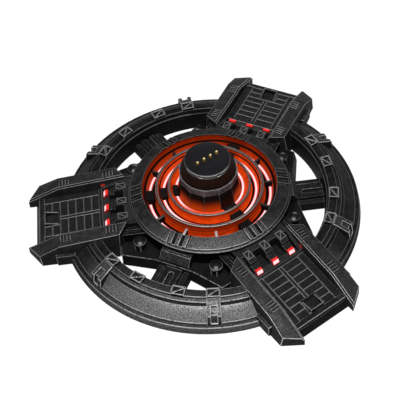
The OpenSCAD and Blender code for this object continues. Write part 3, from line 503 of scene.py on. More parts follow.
def ring_wear_and_front_highlight(add):
    """How far the ring's paint is rubbed: little on the walk, most on the band; more to the front is a
    painted highlight.
    """
    steps = by_stops(add, axis_radius(add), RING_WALK + RING_GROOVE + RING_BAND + RING_RIM, RING_OUTER)
    return times(add, steps, to_front(add, RING_FRONT, sides=0.03))


ring_casting = cast_paint("ring_casting", ring_wear_and_front_highlight, pale=RING_PALE, rubbed=RING_RUBBED, walls=0.45)
edge_ring = bare_edge("edge_ring", where=wear_with_front_highlight(RING_FRONT, sides=0.22))
dress("base_ring", ring_casting, edge_ring, RING_ROUND, "ring_casting")


# Braced plates and straps: small castings glued on the ring's walk, the straps bent over the band.
# Their frames and diagonals are rubbed bare, brighter to the front as a painted highlight. Four plates
# and two straps stand round each spoke.
SPOKE_ANGLE = 90.0
FADED_DARK = (0.020, 0.020, 0.0205)
FRAME_BARE = (0.62, 0.615, 0.61)
PLATE_ROUND = 0.18
STRAP_ROUND = 0.24
round_array = bpy.data.node_groups.new("round_array", "GeometryNodeTree")
for name, kind in (("Unit", "Geometry"), ("Copies", "Int"), ("First", "Float"), ("Face", "Material"),
                   ("Edge", "Material")):
    round_array.interface.new_socket(name, in_out="INPUT", socket_type="NodeSocket" + kind)
round_array.interface.new_socket("Ring", in_out="OUTPUT", socket_type="NodeSocketGeometry")


def tree_node(group, kind, inputs=None, **settings):
    """A new node in a geometry tree, with its inputs set or linked by name or number."""
    node = group.nodes.new(kind)
    for key, value in settings.items():
        setattr(node, key, value)
    for key, value in (inputs or {}).items():
        if isinstance(value, bpy.types.NodeSocket):
            group.links.new(value, node.inputs[key])
        else:
            node.inputs[key].default_value = value
    return node


given = tree_node(round_array, "NodeGroupInput").outputs
step = tree_node(round_array, "ShaderNodeMath", {0: 2 * math.pi, 1: given["Copies"]}, operation="DIVIDE")
index = tree_node(round_array, "GeometryNodeInputIndex")
turn = tree_node(round_array, "ShaderNodeMath",
                 {0: index.outputs[0], 1: step.outputs[0], 2: given["First"]}, operation="MULTIPLY_ADD")
about = tree_node(round_array, "ShaderNodeCombineXYZ", {"Z": turn.outputs[0]})
rotation = tree_node(round_array, "FunctionNodeEulerToRotation", {0: about.outputs[0]})
points = tree_node(round_array, "GeometryNodePoints", {"Count": given["Copies"]})
copies = tree_node(round_array, "GeometryNodeInstanceOnPoints",
                   {"Points": points.outputs[0], "Instance": given["Unit"], "Rotation": rotation.outputs[0]})
real = tree_node(round_array, "GeometryNodeRealizeInstances", {0: copies.outputs[0]})
faced = tree_node(round_array, "GeometryNodeSetMaterial",
                  {"Geometry": real.outputs[0], "Material": given["Face"]})
worn = tree_node(round_array, "GeometryNodeInputNamedAttribute", {"Name": "worn_edge"}, data_type="BOOLEAN")
edged = tree_node(round_array, "GeometryNodeSetMaterial",
                  {"Geometry": faced.outputs[0], "Selection": worn.outputs[0], "Material": given["Edge"]})
tree_node(round_array, "NodeGroupOutput", {"Ring": edged.outputs[0]})


def grow(name, group, mesh, **inputs):
    """Runs a geometry tree on a mesh and returns the result as a plain mesh piece."""
    seed = link_mesh(name + "_seed", mesh)
    modifier = seed.modifiers.new("grow", "NODES")
    modifier.node_group = group
    sockets = {item.name: item.identifier for item in group.interface.items_tree if item.in_out == "INPUT"}
    for key, value in inputs.items():
        modifier[sockets[key.replace("_", " ")]] = value
    graph = bpy.context.evaluated_depsgraph_get()
    graph.update()
    made = bpy.data.meshes.new_from_object(seed.evaluated_get(graph))
    made.name = name
    seed.modifiers.remove(modifier)
    bpy.data.objects.remove(seed)
    return link_mesh(name, made)


def dress_round(node, face, edge, width, slot, middle, copies=3, **settings):
    """Finishes one sector of a node and sets equal copies of it round the axis."""
    mesh = finished_mesh(node, width, sector=(middle, copies), **settings)
    mesh.materials.append(face)
    mesh.materials.append(edge)
    marks = mesh.attributes.new("worn_edge", "BOOLEAN", "FACE")
    for side in mesh.polygons:
        marks.data[side.index].value = side.material_index == 1
    made = grow(node + "_finish", round_array, mesh, Copies=copies, First=math.radians(middle),
                Face=face, Edge=edge)
    return hand_over(made, slot, "dock", node)


edge_frame = bare_edge("edge_frame", bare=FRAME_BARE, where=wear_with_front_highlight(RING_FRONT, sides=0.68))
plate_paint = cast_paint("plate_paint", cover=0.04, pale=FADED_DARK)
dress_round("ring_plates", plate_paint, edge_frame, PLATE_ROUND, "dark_casting", SPOKE_ANGLE)
strap_paint = cast_paint("strap_paint", cover=wear_with_front_highlight(RING_FRONT, sides=0.20, front=0.65))
dress_round("ring_straps", strap_paint, edge_frame, STRAP_ROUND, "dark_casting", SPOKE_ANGLE)


# Spokes: three bridges between hub and ring, each a floor with side flanges, a slotted cover
# plank and a wedge block at the hub end, all cast and painted.
SPOKE_PALE = (0.024, 0.024, 0.0245)
SPOKE_ROUND = 0.2
PLANK_ROUND = 0.18
PLANK_FRONT = 36
spoke_paint = cast_paint("spoke_paint", cover=0.03, pale=SPOKE_PALE)
edge_dull = bare_edge("edge_dull", bare=grey(0.16), low=0.3, high=0.6)
edge_plank = bare_edge("edge_plank", bare=grey(0.48), low=0.3, high=0.6,
                       where=wear_with_front_highlight(PLANK_FRONT, sides=0.55))
for name in ("spoke_rear", "spoke_left", "spoke_right"):
    dress(name, spoke_paint, edge_dull, SPOKE_ROUND, "dark_casting")
dress_round("spoke_planks", spoke_paint, edge_plank, PLANK_ROUND, "dark_casting", SPOKE_ANGLE)
block_paint = cast_paint("block_paint", cover=0.14)
dress_round("spoke_blocks", block_paint, edge_plank, PLANK_ROUND, "worn_casting", SPOKE_ANGLE, tight=True)


# Hub plate, its gussets and its guide knobs: the many-sided lower plate that carries the well,
# painted nearly black, a colour that partly stands for the shade in the recess: painted shade.
# Turned studs are pressed in, two beside each spoke. The two thin bright legs under each stud's
# cap are a painted highlight of the light on the stud's stem.
ARM_ANGLE = 270.0
HUB_BLACK = (0.003, 0.003, 0.0035)
HUB_PALE = (0.010, 0.010, 0.0105)
HUB_EDGE = grey(0.014)
HUB_ROUND = 0.22
HUB_FRONT = 38
GUSSET_ROUND = 0.2
KNOB_ROUND = 0.16
KNOB_FRONT = 33
STEM_HIGHLIGHT_OUT = 2.0
STEM_HIGHLIGHT_APART = 1.15
STEM_HIGHLIGHT_WIDTH = 0.34
STEM_HIGHLIGHT_TALL = 2.95
# Near black: partly the paint, partly painted shade of the recess round the well.
hub_paint_and_shade = cast_paint("hub_paint_and_shade", cover=0.03, paint=HUB_BLACK, pale=HUB_PALE, specular=0.03)
edge_hub = bare_edge("edge_hub", bare=grey(0.34), paint=HUB_EDGE, low=0.3, high=0.6,
                     where=wear_with_front_highlight(HUB_FRONT, sides=0.3))
dress("hub_plate", hub_paint_and_shade, edge_hub, HUB_ROUND, "dark_casting")
dress_round("rail_gussets", hub_paint_and_shade, edge_dull, GUSSET_ROUND, "dark_casting", ARM_ANGLE)
knob_paint = cast_paint("knob_paint", cover=0.02, paint=HUB_BLACK, pale=HUB_PALE, roughness=0.28,
                        specular=0.45)
edge_knob = bare_edge("edge_knob", bare=grey(0.58), where=wear_with_front_highlight(KNOB_FRONT, sides=0.25))


def add_stem_highlights(solid):
    """Stands two thin bright legs under each knob's cap, on the side away from the hub: a painted highlight
    of the light on the sides of the knob's stem.
    """
    _, knobs = regions_of(solid, set())
    size = Matrix.Diagonal((STEM_HIGHLIGHT_WIDTH * MM, STEM_HIGHLIGHT_WIDTH * MM, STEM_HIGHLIGHT_TALL * MM, 1))
    for faces, _, _ in knobs:
        corners = [corner.co for face in faces for corner in face.verts]
        middle = sum(corners, Vector()) / len(corners)
        foot = min(corner.z for corner in corners)
        for side in (-1, 1):
            place = Vector((middle.x + STEM_HIGHLIGHT_OUT * MM, middle.y + side * STEM_HIGHLIGHT_APART * MM,
                            foot + STEM_HIGHLIGHT_TALL * MM / 2))
            stem_highlight = bmesh.ops.create_cube(solid, size=1, matrix=Matrix.Translation(place) @ size)
            for face in {face for corner in stem_highlight["verts"] for face in corner.link_faces}:
                face.material_index = 1


dress_round("guide_knobs", knob_paint, edge_knob, KNOB_ROUND, "worn_casting", SPOKE_ANGLE, shape=add_stem_highlights)


# Arms: three castings, each a core between two side rails, with a gridded deck plate let in.
# The rails' hatch cuts and the deck's grid lines are rubbed bare, brighter to the front, and each
# hatch cut on one long side alone: both are painted highlight. The red light of the front and left
# arms' lamps on their rails is a painted glow.
ARM_SIDES = ("front", "right", "left")
DECK_PALE = (0.021, 0.021, 0.0215)
DECK_BARE = (0.38, 0.38, 0.382)
DECK_ROUND = 0.19
DECK_FRONT = 60
RAIL_BARE = (0.64, 0.635, 0.63)
RAIL_ROUND = 0.18
RAIL_FRONT = 66
ARM_ROUND = 0.2
HALF_SECTOR = math.radians(60)
SPILL_AT = (42.2, 11.6, 8.6)
SPILL_CORE = 0.3
SPILL_REACH = 1.5
SPILL_LEVEL = 0.38
SPILL_ENDS = (15 * MM, 25 * MM)
HATCH_LENGTH = 2.8
HATCH_WIDTH = 0.65
SCOOP_WIDTH = 5.2
LENGTH_SLACK = 0.12
OUTWARD = 0.3


def rail_spill(add):
    """How strong the painted glow of the nearest arm light is at a place, where its light would meet a
    rail's inner wall.
    """
    x, y, z = place_parts(add)
    turned = work_out(add, "SUBTRACT", work_out(add, "ARCTAN2", y, x), math.radians(ARM_ANGLE))
    off_arm = work_out(add, "WRAP", turned, HALF_SECTOR, -HALF_SECTOR)
    along = times(add, axis_radius(add), work_out(add, "COSINE", off_arm))
    aside = work_out(add, "ABSOLUTE", times(add, axis_radius(add), work_out(add, "SINE", off_arm)))
    local = add("CombineXYZ", {"X": along, "Y": aside, "Z": z}).outputs[0]
    away = add("VectorMath", {0: local, 1: tuple(part * MM for part in SPILL_AT)}, operation="DISTANCE")
    near = between(add, away.outputs["Value"], SPILL_CORE * MM, SPILL_REACH * MM, SPILL_LEVEL, 0.0)
    return times(add, near, between(add, x, *SPILL_ENDS, 1.0, 0.0))


def about_long(edge, length):
    """Whether an edge has about a length, in millimetres."""
    return abs(edge.calc_length() / MM - length) < LENGTH_SLACK


def faces_out(edge):
    """Whether the wall at an edge looks away from the dock's axis."""
    wall = min(edge.link_faces, key=lambda face: face.normal.z)
    middle = (edge.verts[0].co + edge.verts[1].co).to_2d().normalized()
    return wall.normal.to_2d().dot(middle) > OUTWARD


def hatch_far_side(edge):
    """Whether an edge is a short end, or the wall that faces outwards, of one of the rails' hatch cuts;
    these stay sharp and painted, so the bare line on the other side alone is a painted highlight.
    """
    return about_long(edge, HATCH_WIDTH) or (about_long(edge, HATCH_LENGTH) and faces_out(edge))


def scoop_near_side(edge):
    """Whether an edge is the side of a deck's scoop that lies towards the hub."""
    return about_long(edge, SCOOP_WIDTH) and faces_out(edge)


arm_paint = cast_paint("arm_paint", cover=0.04, pale=FADED_DARK)
rail_paint = cast_paint("rail_paint", cover=wear_with_front_highlight(RAIL_FRONT, sides=0.10, front=0.26), walls=0.45,
                        spill=rail_spill)
deck_paint = cast_paint("deck_paint", cover=0.05, pale=DECK_PALE)
edge_deck = bare_edge("edge_deck", bare=DECK_BARE, where=wear_with_front_highlight(DECK_FRONT, sides=0.62))
edge_rail = bare_edge("edge_rail", bare=RAIL_BARE, where=wear_with_front_highlight(RAIL_FRONT, sides=0.45))
for side in ARM_SIDES:
    dress("arm_body_" + side, arm_paint, edge_dull, ARM_ROUND, "dark_casting", tight=True)
    dress("rails_" + side, rail_paint, edge_rail, RAIL_ROUND, "ring_casting", skip=hatch_far_side)
    dress("deck_" + side, deck_paint, edge_deck, DECK_ROUND, "dark_casting", segments=1,
          skip=scoop_near_side)


# Arm lights: a cast frame of ribs and braced boxes over a small board, with three red lenses
# lit from below on each arm. The lens faces are white-hot where the lamp shows through.
FRAME_ROUND = 0.15
BOX_FRONT = 30
BOX_TOP_DEPTH = 0.1
LEVEL_FACE = 0.9
SLOPED_FACE = 0.3
MASK_DARK = (0.010, 0.011, 0.010)
MASK_PALE = (0.026, 0.028, 0.026)
LENS_PLASTIC = (0.10, 0.006, 0.006)
LENS_COLOURS = [(0, (0.015, 0.003, 0.002)), (0.3, (0.10, 0.005, 0.004)), (0.5, (0.95, 0.022, 0.014)),
                (0.75, (1.0, 0.32, 0.36)), (0.94, (1.0, 0.80, 0.84))]
LENS_SPECK = 0.8
LENS_MOTTLE = 0.94
MOTTLE_RANGE = (0.3, 0.7)
TONE_RANGE = (0.35, 0.65)
RIM_HEAT = 0.43
TOP_HEAT = 0.52
FRONT_RIM = 0.2
TOP_RIM = 0.34
frame_paint = cast_paint("frame_paint", cover=0.08)
edge_box = bare_edge("edge_box", bare=grey(0.2), where=wear_with_front_highlight(BOX_FRONT, sides=0.7))


def bare_box_tops(solid):
    """Rubs the tops of the braced boxes' frames bare: they are the highest level faces."""
    solid.normal_update()
    top = max(corner.co.z for corner in solid.verts)
    for face in solid.faces:
        if face.normal.z > LEVEL_FACE and top - face.calc_center_median().z < BOX_TOP_DEPTH * MM:
            face.material_index = 1


for side in ARM_SIDES:
    dress("light_frame_" + side, frame_paint, edge_box, FRAME_ROUND, "dark_casting", tight=True,
          shape=bare_box_tops)


def even_finish(name, colour, second, size, roughness, specular=0.5, metallic=0.0):
    """A moulded or plated finish: two near tones in fine noise."""
    made, shader, put, add = new_finish(name, roughness, specular)
    shader.inputs["Metallic"].default_value = metallic
    tones = between(add, noise(add, size, FINE_DETAIL), *TONE_RANGE)
    put(shader.inputs["Base Color"], blend_colour(add, tones, colour, second))
    return made


board_mask = even_finish("board_mask", MASK_DARK, MASK_PALE, size=0.7, roughness=0.55, specular=0.3)
dress_round("lens_boards", board_mask, board_mask, 0, "circuit_board", ARM_ANGLE)


def lens_heat(solid):
    """Marks how brightly the lamp shows at each corner: most on the sloped front, some on the top."""
    heat = solid.verts.layers.float.new("lamp_heat")
    solid.normal_update()
    slopes = [face for face in solid.faces if SLOPED_FACE < face.normal.z < LEVEL_FACE]
    tops = [face for face in solid.faces if face.normal.z >= LEVEL_FACE]
    for face in slopes + tops:
        for corner in face.verts:
            corner[heat] = RIM_HEAT
    for faces, rim, inner in ((slopes, FRONT_RIM, 1.0), (tops, TOP_RIM, TOP_HEAT)):
        bmesh.ops.inset_region(solid, faces=faces, thickness=rim * MM, use_even_offset=True)
        for face in faces:
            for corner in face.verts:
                corner[heat] = inner


def lens_glow():
    """Clear red plastic over a lamp: white-hot in front, red round it and dark down the sides."""
    made, shader, put, add = new_finish("lens_glow", roughness=0.35, specular=0.2)
    shader.inputs["Base Color"].default_value = (*LENS_PLASTIC, 1)
    shader.inputs["Emission Strength"].default_value = 1.0
    heat = add("Attribute", attribute_name="lamp_heat").outputs["Fac"]
    mottled = times(add, heat, between(add, noise(add, LENS_SPECK), *MOTTLE_RANGE, LENS_MOTTLE * MM, MM))
    put(shader.inputs["Emission Color"], by_stops(add, mottled, LENS_COLOURS, 1.0))
    return made


red_lens = lens_glow()
dress_round("lenses", red_lens, red_lens, 0, "red_lens", ARM_ANGLE, shape=lens_heat)


# Hub housing and collar: a turned drum on the hub plate with a sloped collar, held by six
# ribbed clamps. The collar is rubbed back like the ring, brighter to the front as a painted highlight.
HOUSING_ROUND = 0.2
COLLAR_ROUND = 0.18
COLLAR_FRONT = 31
CLAMP_ANGLE = 30.0
CLAMP_BARE = (0.5, 0.495, 0.49)
CLAMP_ROUND = 0.14
CLAMP_FRONT = 33
GROOVE_SHARE = 0.5
edge_faint = bare_edge("edge_faint", bare=grey(0.12), paint=HUB_EDGE, low=0.32, high=0.6)
dress("hub_housing", hub_paint_and_shade, edge_faint, HOUSING_ROUND, "dark_casting")
collar_paint = cast_paint("collar_paint", cover=wear_with_front_highlight(COLLAR_FRONT, sides=0.05, front=0.45))
edge_collar = bare_edge("edge_collar", where=wear_with_front_highlight(COLLAR_FRONT, sides=0.3))
dress("hub_collar", collar_paint, edge_collar, COLLAR_ROUND, "worn_casting")


def mark_grooves(solid):
    """Marks the faces whose edges turn inwards for the most part: the floors of the grooves."""
    depth = solid.faces.layers.float.new("groove_floor")
    _, regions = regions_of(solid, sharp_edges(solid))
    for faces, _, share in regions:
        if share < GROOVE_SHARE:
            for face in faces:
                face[depth] = 1.0


def clamp_cover(add):
    """How far the clamps are rubbed: the ribs more to the front, a painted highlight, the grooves between
    them not at all.
    """
    groove = add("Attribute", attribute_name="groove_floor").outputs["Fac"]
    ribs = to_front(add, CLAMP_FRONT, sides=0.02, front=0.62)
    return times(add, ribs, work_out(add, "SUBTRACT", 1.0, groove))


clamp_paint = cast_paint("clamp_paint", cover=clamp_cover, pale=FADED_DARK)
edge_clamp = bare_edge("edge_clamp", bare=CLAMP_BARE, where=wear_with_front_highlight(CLAMP_FRONT, sides=0.5))
dress_round("collar_clamps", clamp_paint, edge_clamp, CLAMP_ROUND, "worn_casting", CLAMP_ANGLE, copies=6,
            shape=mark_grooves)


# Well: a stepped funnel of orange plastic lit from a ring board below, with three light strips
# in its channels, two cast rings on its ridges and cast walls that part the channels.
WELL_REACH = 30.0
STRIP_RADII = {"outer_light_strip": 24.0, "middle_light_strip": 18.4, "inner_light_strip": 13.25}
STRIP_HALF = 0.575
STRIP_PINK_HALF = 0.40
STRIP_WHITE_HALF = 0.22
STRIP_PLASTIC = (0.2, 0.02, 0.02)
STRIP_RED = (0.70, 0.03, 0.005)
STRIP_PINK = (1.0, 0.20, 0.20)
STRIP_WHITE = (1.0, 0.86, 0.88)
CHANNEL_FLOORS = [(0, 12.5), (15.9, 12.5), (16.0, 11.25), (20.8, 11.25), (21.0, 9.5), (WELL_REACH, 9.5)]
CHANNEL_SCALE = 25.0
GLOW_DEEP = (0.08, 0.004, 0.0)
GLOW_BRIGHT = (0.80, 0.054, 0.003)
GLOW_RISE = (0.6 * MM, 5.0 * MM)
GLOW_TOP = 0.22
ARM_SHADE = 0.6
SHADE_RANGE = (0.72, 1.0)
LINER_PLASTIC = (0.03, 0.004, 0.001)
LEDGE_DARK = (0.003, 0.0012, 0.001)
LEDGE_FACING = (0.7, 0.93)
MOTTLE_SIZE = 2.2
MOTTLE_LEAST = 0.7
OUTER_WALL_DIMS = (20.3 * MM, 20.9 * MM)
OUTER_WALL_LEVEL = 0.54
RIDGE_SEAMS = (12.6, 11.0)
SEAM_HALF = (0.07 * MM, 0.2 * MM)
SEAM_BEGINS = (20.8 * MM, 21.1 * MM)
SEAM_ENDS = (22.3 * MM, 22.6 * MM)
DIVIDER_MIDDLE = 285.0
DIVIDER_ROUND = 0.14
DIVIDER_TOP = 0.5
DIVIDER_FRONT = 24
DIVIDER_BARE = (0.62, 0.60, 0.58)
DIVIDER_DARK = (0.01, 0.008, 0.007)
WALL_DARK = (0.005, 0.004, 0.004)
WALL_PALE = (0.014, 0.009, 0.008)
SPACER_WIDTH = 1.6
CAP_ROUND = 0.1
CAP_FRONT = 20
CAP_DARK = (0.03, 0.018, 0.015)
CAP_PALE = (0.12, 0.065, 0.055)
CAP_RUBBED = (0.45, 0.31, 0.28)
CAP_BARE = (0.55, 0.47, 0.45)


def arm_side(add, low, high):
    """How close a place is to an arm's own direction, from 0 between the arms to 1 on them."""
    x, y, _ = place_parts(add)
    thrice = work_out(add, "SINE", times(add, work_out(add, "ARCTAN2", y, x), 3.0))
    return between(add, thrice, low, high)


def ridge_seam(add, radius, z, seam):
    """A share that drops to 0 along a thin dark line round the outer ridge, at a height."""
    off = work_out(add, "ABSOLUTE", work_out(add, "SUBTRACT", z, seam * MM))
    line = work_out(add, "MAXIMUM", between(add, off, *SEAM_HALF), between(add, radius, *SEAM_ENDS))
    return work_out(add, "MAXIMUM", line, between(add, radius, *SEAM_BEGINS, 1.0, 0.0))


def funnel_glow():
    """Orange plastic whose walls glow, most low down beside the strips, a painted pool of their light, and
    less towards the arms, a painted shadow of the spacers, while its level steps stay dark.
    """
    made, shader, put, add = new_finish("lit_liner", roughness=0.5, specular=0.03)
    shader.inputs["Emission Strength"].default_value = 1.0
    radius = axis_radius(add)
    _, _, z = place_parts(add)
    floors = [(at, floor / CHANNEL_SCALE) for at, floor in CHANNEL_FLOORS]
    lowest = times(add, by_stops(add, radius, floors, WELL_REACH), CHANNEL_SCALE * MM)
    low_down = between(add, work_out(add, "SUBTRACT", z, lowest), *GLOW_RISE, 1.0, GLOW_TOP)
    # Dimmer towards the arms: a painted shadow of the wide spacers.
    open_side = work_out(add, "SUBTRACT", 1.0, times(add, arm_side(add, *SHADE_RANGE), ARM_SHADE))
    mottle = between(add, noise(add, MOTTLE_SIZE, FINE_DETAIL), *MOTTLE_RANGE, MOTTLE_LEAST, 1.0)
    outer_wall = between(add, radius, *OUTER_WALL_DIMS, 1.0, OUTER_WALL_LEVEL)
    seams = [ridge_seam(add, radius, z, seam) for seam in RIDGE_SEAMS]
    heat = times(add, low_down, open_side, mottle, outer_wall, *seams)
    lit = blend_colour(add, heat, GLOW_DEEP, GLOW_BRIGHT)
    ledge = between(add, facing_up(add), *LEDGE_FACING)
    put(shader.inputs["Base Color"], blend_colour(add, ledge, LINER_PLASTIC, LEDGE_DARK))
    put(shader.inputs["Emission Color"], blend_colour(add, ledge, lit, LEDGE_DARK))
    return made


def strip_glow(name, radius, dim_front):
    """A light strip: white-hot along its middle and red at its edges; with dim_front it turns plain orange
    to the front, a painted shade under the pedestal's foot.
    """
    made, shader, put, add = new_finish(name, roughness=0.4, specular=0.1)
    shader.inputs["Base Color"].default_value = (*STRIP_PLASTIC, 1)
    shader.inputs["Emission Strength"].default_value = 1.0
    inner = [(-STRIP_HALF, STRIP_RED), (-STRIP_PINK_HALF, STRIP_PINK), (-STRIP_WHITE_HALF, STRIP_WHITE)]
    outer = [(-off, colour) for off, colour in reversed(inner)]
    stops = [(radius + off, colour) for off, colour in inner + outer]
    shown = by_stops(add, axis_radius(add), stops, WELL_REACH)
    if dim_front:
        shown = blend_colour(add, to_front(add, radius, sides=0.0), shown, GLOW_BRIGHT)
    put(shader.inputs["Emission Color"], shown)
    return made


def spacers_dark(solid):
    """Keeps the paint on the wide spacers' edges and rubs the tops of the thin walls bare."""
    _, solids = regions_of(solid, set())
    for faces, _, _ in solids:
        corners = [corner.co for face in faces for corner in face.verts]
        angles = [math.atan2(corner.y, corner.x) for corner in corners]
        wide = (max(angles) - min(angles)) * corners[0].xy.length > SPACER_WIDTH * MM
        for face in faces:
            if wide:
                face.material_index = 0
            elif face.normal.z > DIVIDER_TOP:
                face.material_index = 1


dress("light_board", board_mask, board_mask, 0, "circuit_board")
lit_liner = funnel_glow()
dress("light_liner", lit_liner, lit_liner, 0, "lit_liner")
for name, radius in STRIP_RADII.items():
    strip_light = strip_glow(name, radius, dim_front=name == "inner_light_strip")
    dress(name, strip_light, strip_light, 0, "light_strip")
wall_paint = cast_paint("wall_paint", cover=0.02, paint=WALL_DARK, pale=WALL_PALE)
edge_divider = bare_edge("edge_divider", bare=DIVIDER_BARE, paint=DIVIDER_DARK,
                         where=wear_with_front_highlight(DIVIDER_FRONT, sides=0.05))
dress_round("channel_dividers", wall_paint, edge_divider, DIVIDER_ROUND, "dark_casting", DIVIDER_MIDDLE,
            shape=spacers_dark)
cap_paint = cast_paint("cap_paint", cover=0.25, paint=CAP_DARK, pale=CAP_PALE, rubbed=CAP_RUBBED)
edge_cap = bare_edge("edge_cap", bare=CAP_BARE, where=wear_with_front_highlight(CAP_FRONT, sides=0.4))
dress("middle_ring", cap_paint, edge_cap, CAP_ROUND, "worn_casting")
dress("inner_ring", cap_paint, edge_cap, CAP_ROUND, "worn_casting")


# Contact post: a flared twelve-sided pedestal with a scored band, a dark plastic neck, a notched
# head ring and a black disc that carries the contacts. The well's light at the foot of the
# pedestal's panels is painted on, with a painted shadow on the three panels that face the arms.
POST_ROUND = 0.1
PANEL_DARK = (0.003, 0.002, 0.002)
PANEL_PALE = (0.010, 0.007, 0.006)
PAINTED_WELL_LIGHT = (0.42, 0.034, 0.001)
PANEL_FOOT = 12.9
PANEL_FADE = 19.0
PANEL_FALL = 1.15
SPACER_SHADOW = 0.96
SPACER_SHADOW_RANGE = (0.69, 0.72)
PANEL_SPECK = 0.5
PANEL_RANGE = (0.35, 0.7)
BAND_PALE = (0.18, 0.18, 0.178)
BAND_RUBBED = (0.42, 0.43, 0.44)
BAND_BARE = (0.36, 0.36, 0.362)
BAND_ROUND = 0.12
# The neck's red-brown tint partly stands for the well's red light on it: painted light.
NECK_DARK = (0.007, 0.003, 0.002)
NECK_PALE = (0.022, 0.007, 0.004)
NECK_ROUND = 0.15
HEAD_REACH = 20.0
HEAD_FRONT = 6
HEAD_BARE = (0.8, 0.79, 0.78)
NOTCH_FLOOR = 8.65
NOTCH_STEP = 0.15
NOTCH_DARK = 0.004
RIM_BEGINS = ((NOTCH_FLOOR + 0.08) * MM, (NOTCH_FLOOR + 0.2) * MM)
DISC_DARK = (0.0072, 0.0072, 0.0088)
DISC_PALE = (0.0098, 0.0098, 0.0115)
DISC_ROUND = 0.12


def pedestal_with_painted_light():
    """Dark casting with the well's light painted on its panels at the foot, fading upwards, and a painted
    shadow on the panels that face the arms.
    """
    made, shader, put, add = new_finish("pedestal_paint_and_painted_light", roughness=0.5, specular=0.05)
    specks = between(add, noise(add, PANEL_SPECK, FINE_DETAIL), *PANEL_RANGE)
    put(shader.inputs["Base Color"], blend_colour(add, specks, PANEL_DARK, PANEL_PALE))
    _, _, z = place_parts(add)
    fade = work_out(add, "POWER", between(add, z, PANEL_FOOT * MM, PANEL_FADE * MM, 1.0, 0.0), PANEL_FALL)
    spacer_shade = times(add, arm_side(add, *SPACER_SHADOW_RANGE), SPACER_SHADOW)
    shader.inputs["Emission Color"].default_value = (*PAINTED_WELL_LIGHT, 1)
    put(shader.inputs["Emission Strength"], times(add, fade, work_out(add, "SUBTRACT", 1.0, spacer_shade)))
    return made


def outside_notches(outside):
    """A maker of a level for the head ring's outside, which drops to near nothing in its notches."""
    stops = [(0, NOTCH_DARK), (NOTCH_FLOOR, NOTCH_DARK), (NOTCH_FLOOR + NOTCH_STEP, outside)]
    return lambda add: by_stops(add, axis_radius(add), stops, HEAD_REACH)


def head_rim(add):
    """Where the head ring's edge is bare: on its outside, and only to the front, a painted highlight."""
    return times(add, between(add, axis_radius(add), *RIM_BEGINS), to_front(add, HEAD_FRONT, sides=0.0))


dress("pedestal", pedestal_with_painted_light(), edge_faint, POST_ROUND, "dark_casting")
band_paint = cast_paint("band_paint", cover=0.42, pale=BAND_PALE, rubbed=BAND_RUBBED, walls=0.9)
edge_band = bare_edge("edge_band", bare=BAND_BARE)
dress("pedestal_band", band_paint, edge_band, BAND_ROUND, "worn_casting")
neck_plastic = even_finish("neck_plastic", NECK_DARK, NECK_PALE, size=0.5, roughness=0.55, specular=0.06)
dress("neck", neck_plastic, neck_plastic, NECK_ROUND, "neck_plastic")
head_paint = cast_paint("head_paint", cover=outside_notches(0.2), paint=outside_notches(0.07),
                        pale=outside_notches(0.28), walls=1.0)
edge_head = bare_edge("edge_head", bare=HEAD_BARE, where=head_rim)
dress("head_ring", head_paint, edge_head, POST_ROUND, "worn_casting")
black_plastic = even_finish("black_plastic", DISC_DARK, DISC_PALE, size=0.5, roughness=0.55, specular=0.1)
dress("contact_disc", black_plastic, black_plastic, DISC_ROUND, "black_plastic")


# Spring contacts: four gold-plated sleeves pressed into the disc, each with a round-tipped plunger
# on a coil of steel wire, soldered to a small board between two magnets.
TIP_GOLD = (1.0, 0.74, 0.30)
TIP_PALE = (1.0, 0.84, 0.46)
TIP_ROUND = 0.03
SLEEVE_GOLD = (0.08, 0.045, 0.014)
SLEEVE_PALE = (0.13, 0.075, 0.024)
SLEEVE_ROUND = 0.05
STEEL_GREY = (0.45, 0.45, 0.46)
STEEL_PALE = (0.6, 0.6, 0.61)
MAGNET_ROUND = 0.1
COIL_TURNS = 6.0
COIL_STEPS = 20
COIL_RADIUS = 0.5
WIRE_RADIUS = 0.07
WIRE_SIDES = 8
gold_tip = even_finish("gold_tip", TIP_GOLD, TIP_PALE, size=0.4, roughness=0.42, metallic=0.9)
gold_sleeve = even_finish("gold_sleeve", SLEEVE_GOLD, SLEEVE_PALE, size=0.4, roughness=0.35, metallic=1.0)
steel = even_finish("steel", STEEL_GREY, STEEL_PALE, size=0.6, roughness=0.3, metallic=1.0)
dress("pin_barrels", gold_sleeve, gold_sleeve, SLEEVE_ROUND, "gold_contact")
dress("pin_board", board_mask, board_mask, 0, "circuit_board")
dress("head_magnets", steel, steel, MAGNET_ROUND, "bright_steel")
coil = bpy.data.node_groups.new("coil", "GeometryNodeTree")
for name, kind in (("Turns", "Float"), ("Coil radius", "Float"), ("Height", "Float"),
                   ("Wire radius", "Float"), ("Foot", "Vector"), ("Wire", "Material")):
    coil.interface.new_socket(name, in_out="INPUT", socket_type="NodeSocket" + kind)
coil.interface.new_socket("Spring", in_out="OUTPUT", socket_type="NodeSocketGeometry")
given = tree_node(coil, "NodeGroupInput").outputs
path = tree_node(coil, "GeometryNodeCurveSpiral",
                 {"Resolution": COIL_STEPS, "Rotations": given["Turns"], "Height": given["Height"],
                  "Start Radius": given["Coil radius"], "End Radius": given["Coil radius"]})
round_wire = tree_node(coil, "GeometryNodeCurvePrimitiveCircle",
                       {"Resolution": WIRE_SIDES, "Radius": given["Wire radius"]})
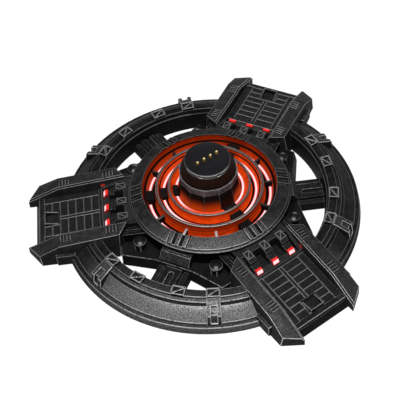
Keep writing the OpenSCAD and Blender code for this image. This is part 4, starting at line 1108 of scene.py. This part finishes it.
swept = tree_node(coil, "GeometryNodeCurveToMesh",
                  {"Curve": path.outputs[0], "Profile Curve": round_wire.outputs[0], "Fill Caps": True})
placed = tree_node(coil, "GeometryNodeTransform",
                   {"Geometry": swept.outputs[0], "Translation": given["Foot"]})
wired = tree_node(coil, "GeometryNodeRealizeInstances", {0: placed.outputs[0]})
finished = tree_node(coil, "GeometryNodeSetMaterial",
                     {"Geometry": wired.outputs[0], "Material": given["Wire"]})
tree_node(coil, "NodeGroupOutput", {"Spring": finished.outputs[0]})
for number in (1, 2, 3, 4):
    dress(f"plunger_{number}", gold_tip, gold_tip, TIP_ROUND, "gold_contact", body=f"contact_{number}")
    low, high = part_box(f"pin_spring_{number}")
    foot = Vector(((low.x + high.x) / 2, (low.y + high.y) / 2, low.z + WIRE_RADIUS * MM))
    tall = high.z - low.z
    spring = grow(f"pin_spring_{number}_finish", coil, bpy.data.meshes.new("spring_seed"), Turns=COIL_TURNS,
                  Coil_radius=COIL_RADIUS * MM, Height=tall - 2 * WIRE_RADIUS * MM,
                  Wire_radius=WIRE_RADIUS * MM, Foot=foot, Wire=steel)
    hand_over(spring, "bright_steel", "dock", f"pin_spring_{number}")
    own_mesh(spring)


# Inside and underneath: the main board, the lead and its socket, the screwed cover and the
# rubber pads that the dock stands on. Here the lower edges are rounded too.
ALL_EDGES = -2.0
COVER_ROUND = 0.15
SCREW_ROUND = 0.06
PAD_ROUND = 0.1
SOCKET_ROUND = 0.05
rubber = even_finish("rubber", grey(0.010), grey(0.018), size=0.5, roughness=0.8, specular=0.2)
dress("main_board", board_mask, board_mask, 0, "circuit_board")
dress("bottom_cover", hub_paint_and_shade, edge_faint, COVER_ROUND, "black_plastic", under=ALL_EDGES)
dress_round("cover_screws", steel, steel, SCREW_ROUND, "bright_steel", SPOKE_ANGLE, under=ALL_EDGES)
dress("foot_pads", rubber, rubber, PAD_ROUND, "soft_rubber", under=ALL_EDGES)
dress("power_socket", steel, steel, SOCKET_ROUND, "bright_steel")
dress("power_lead", rubber, rubber, 0, "black_plastic")
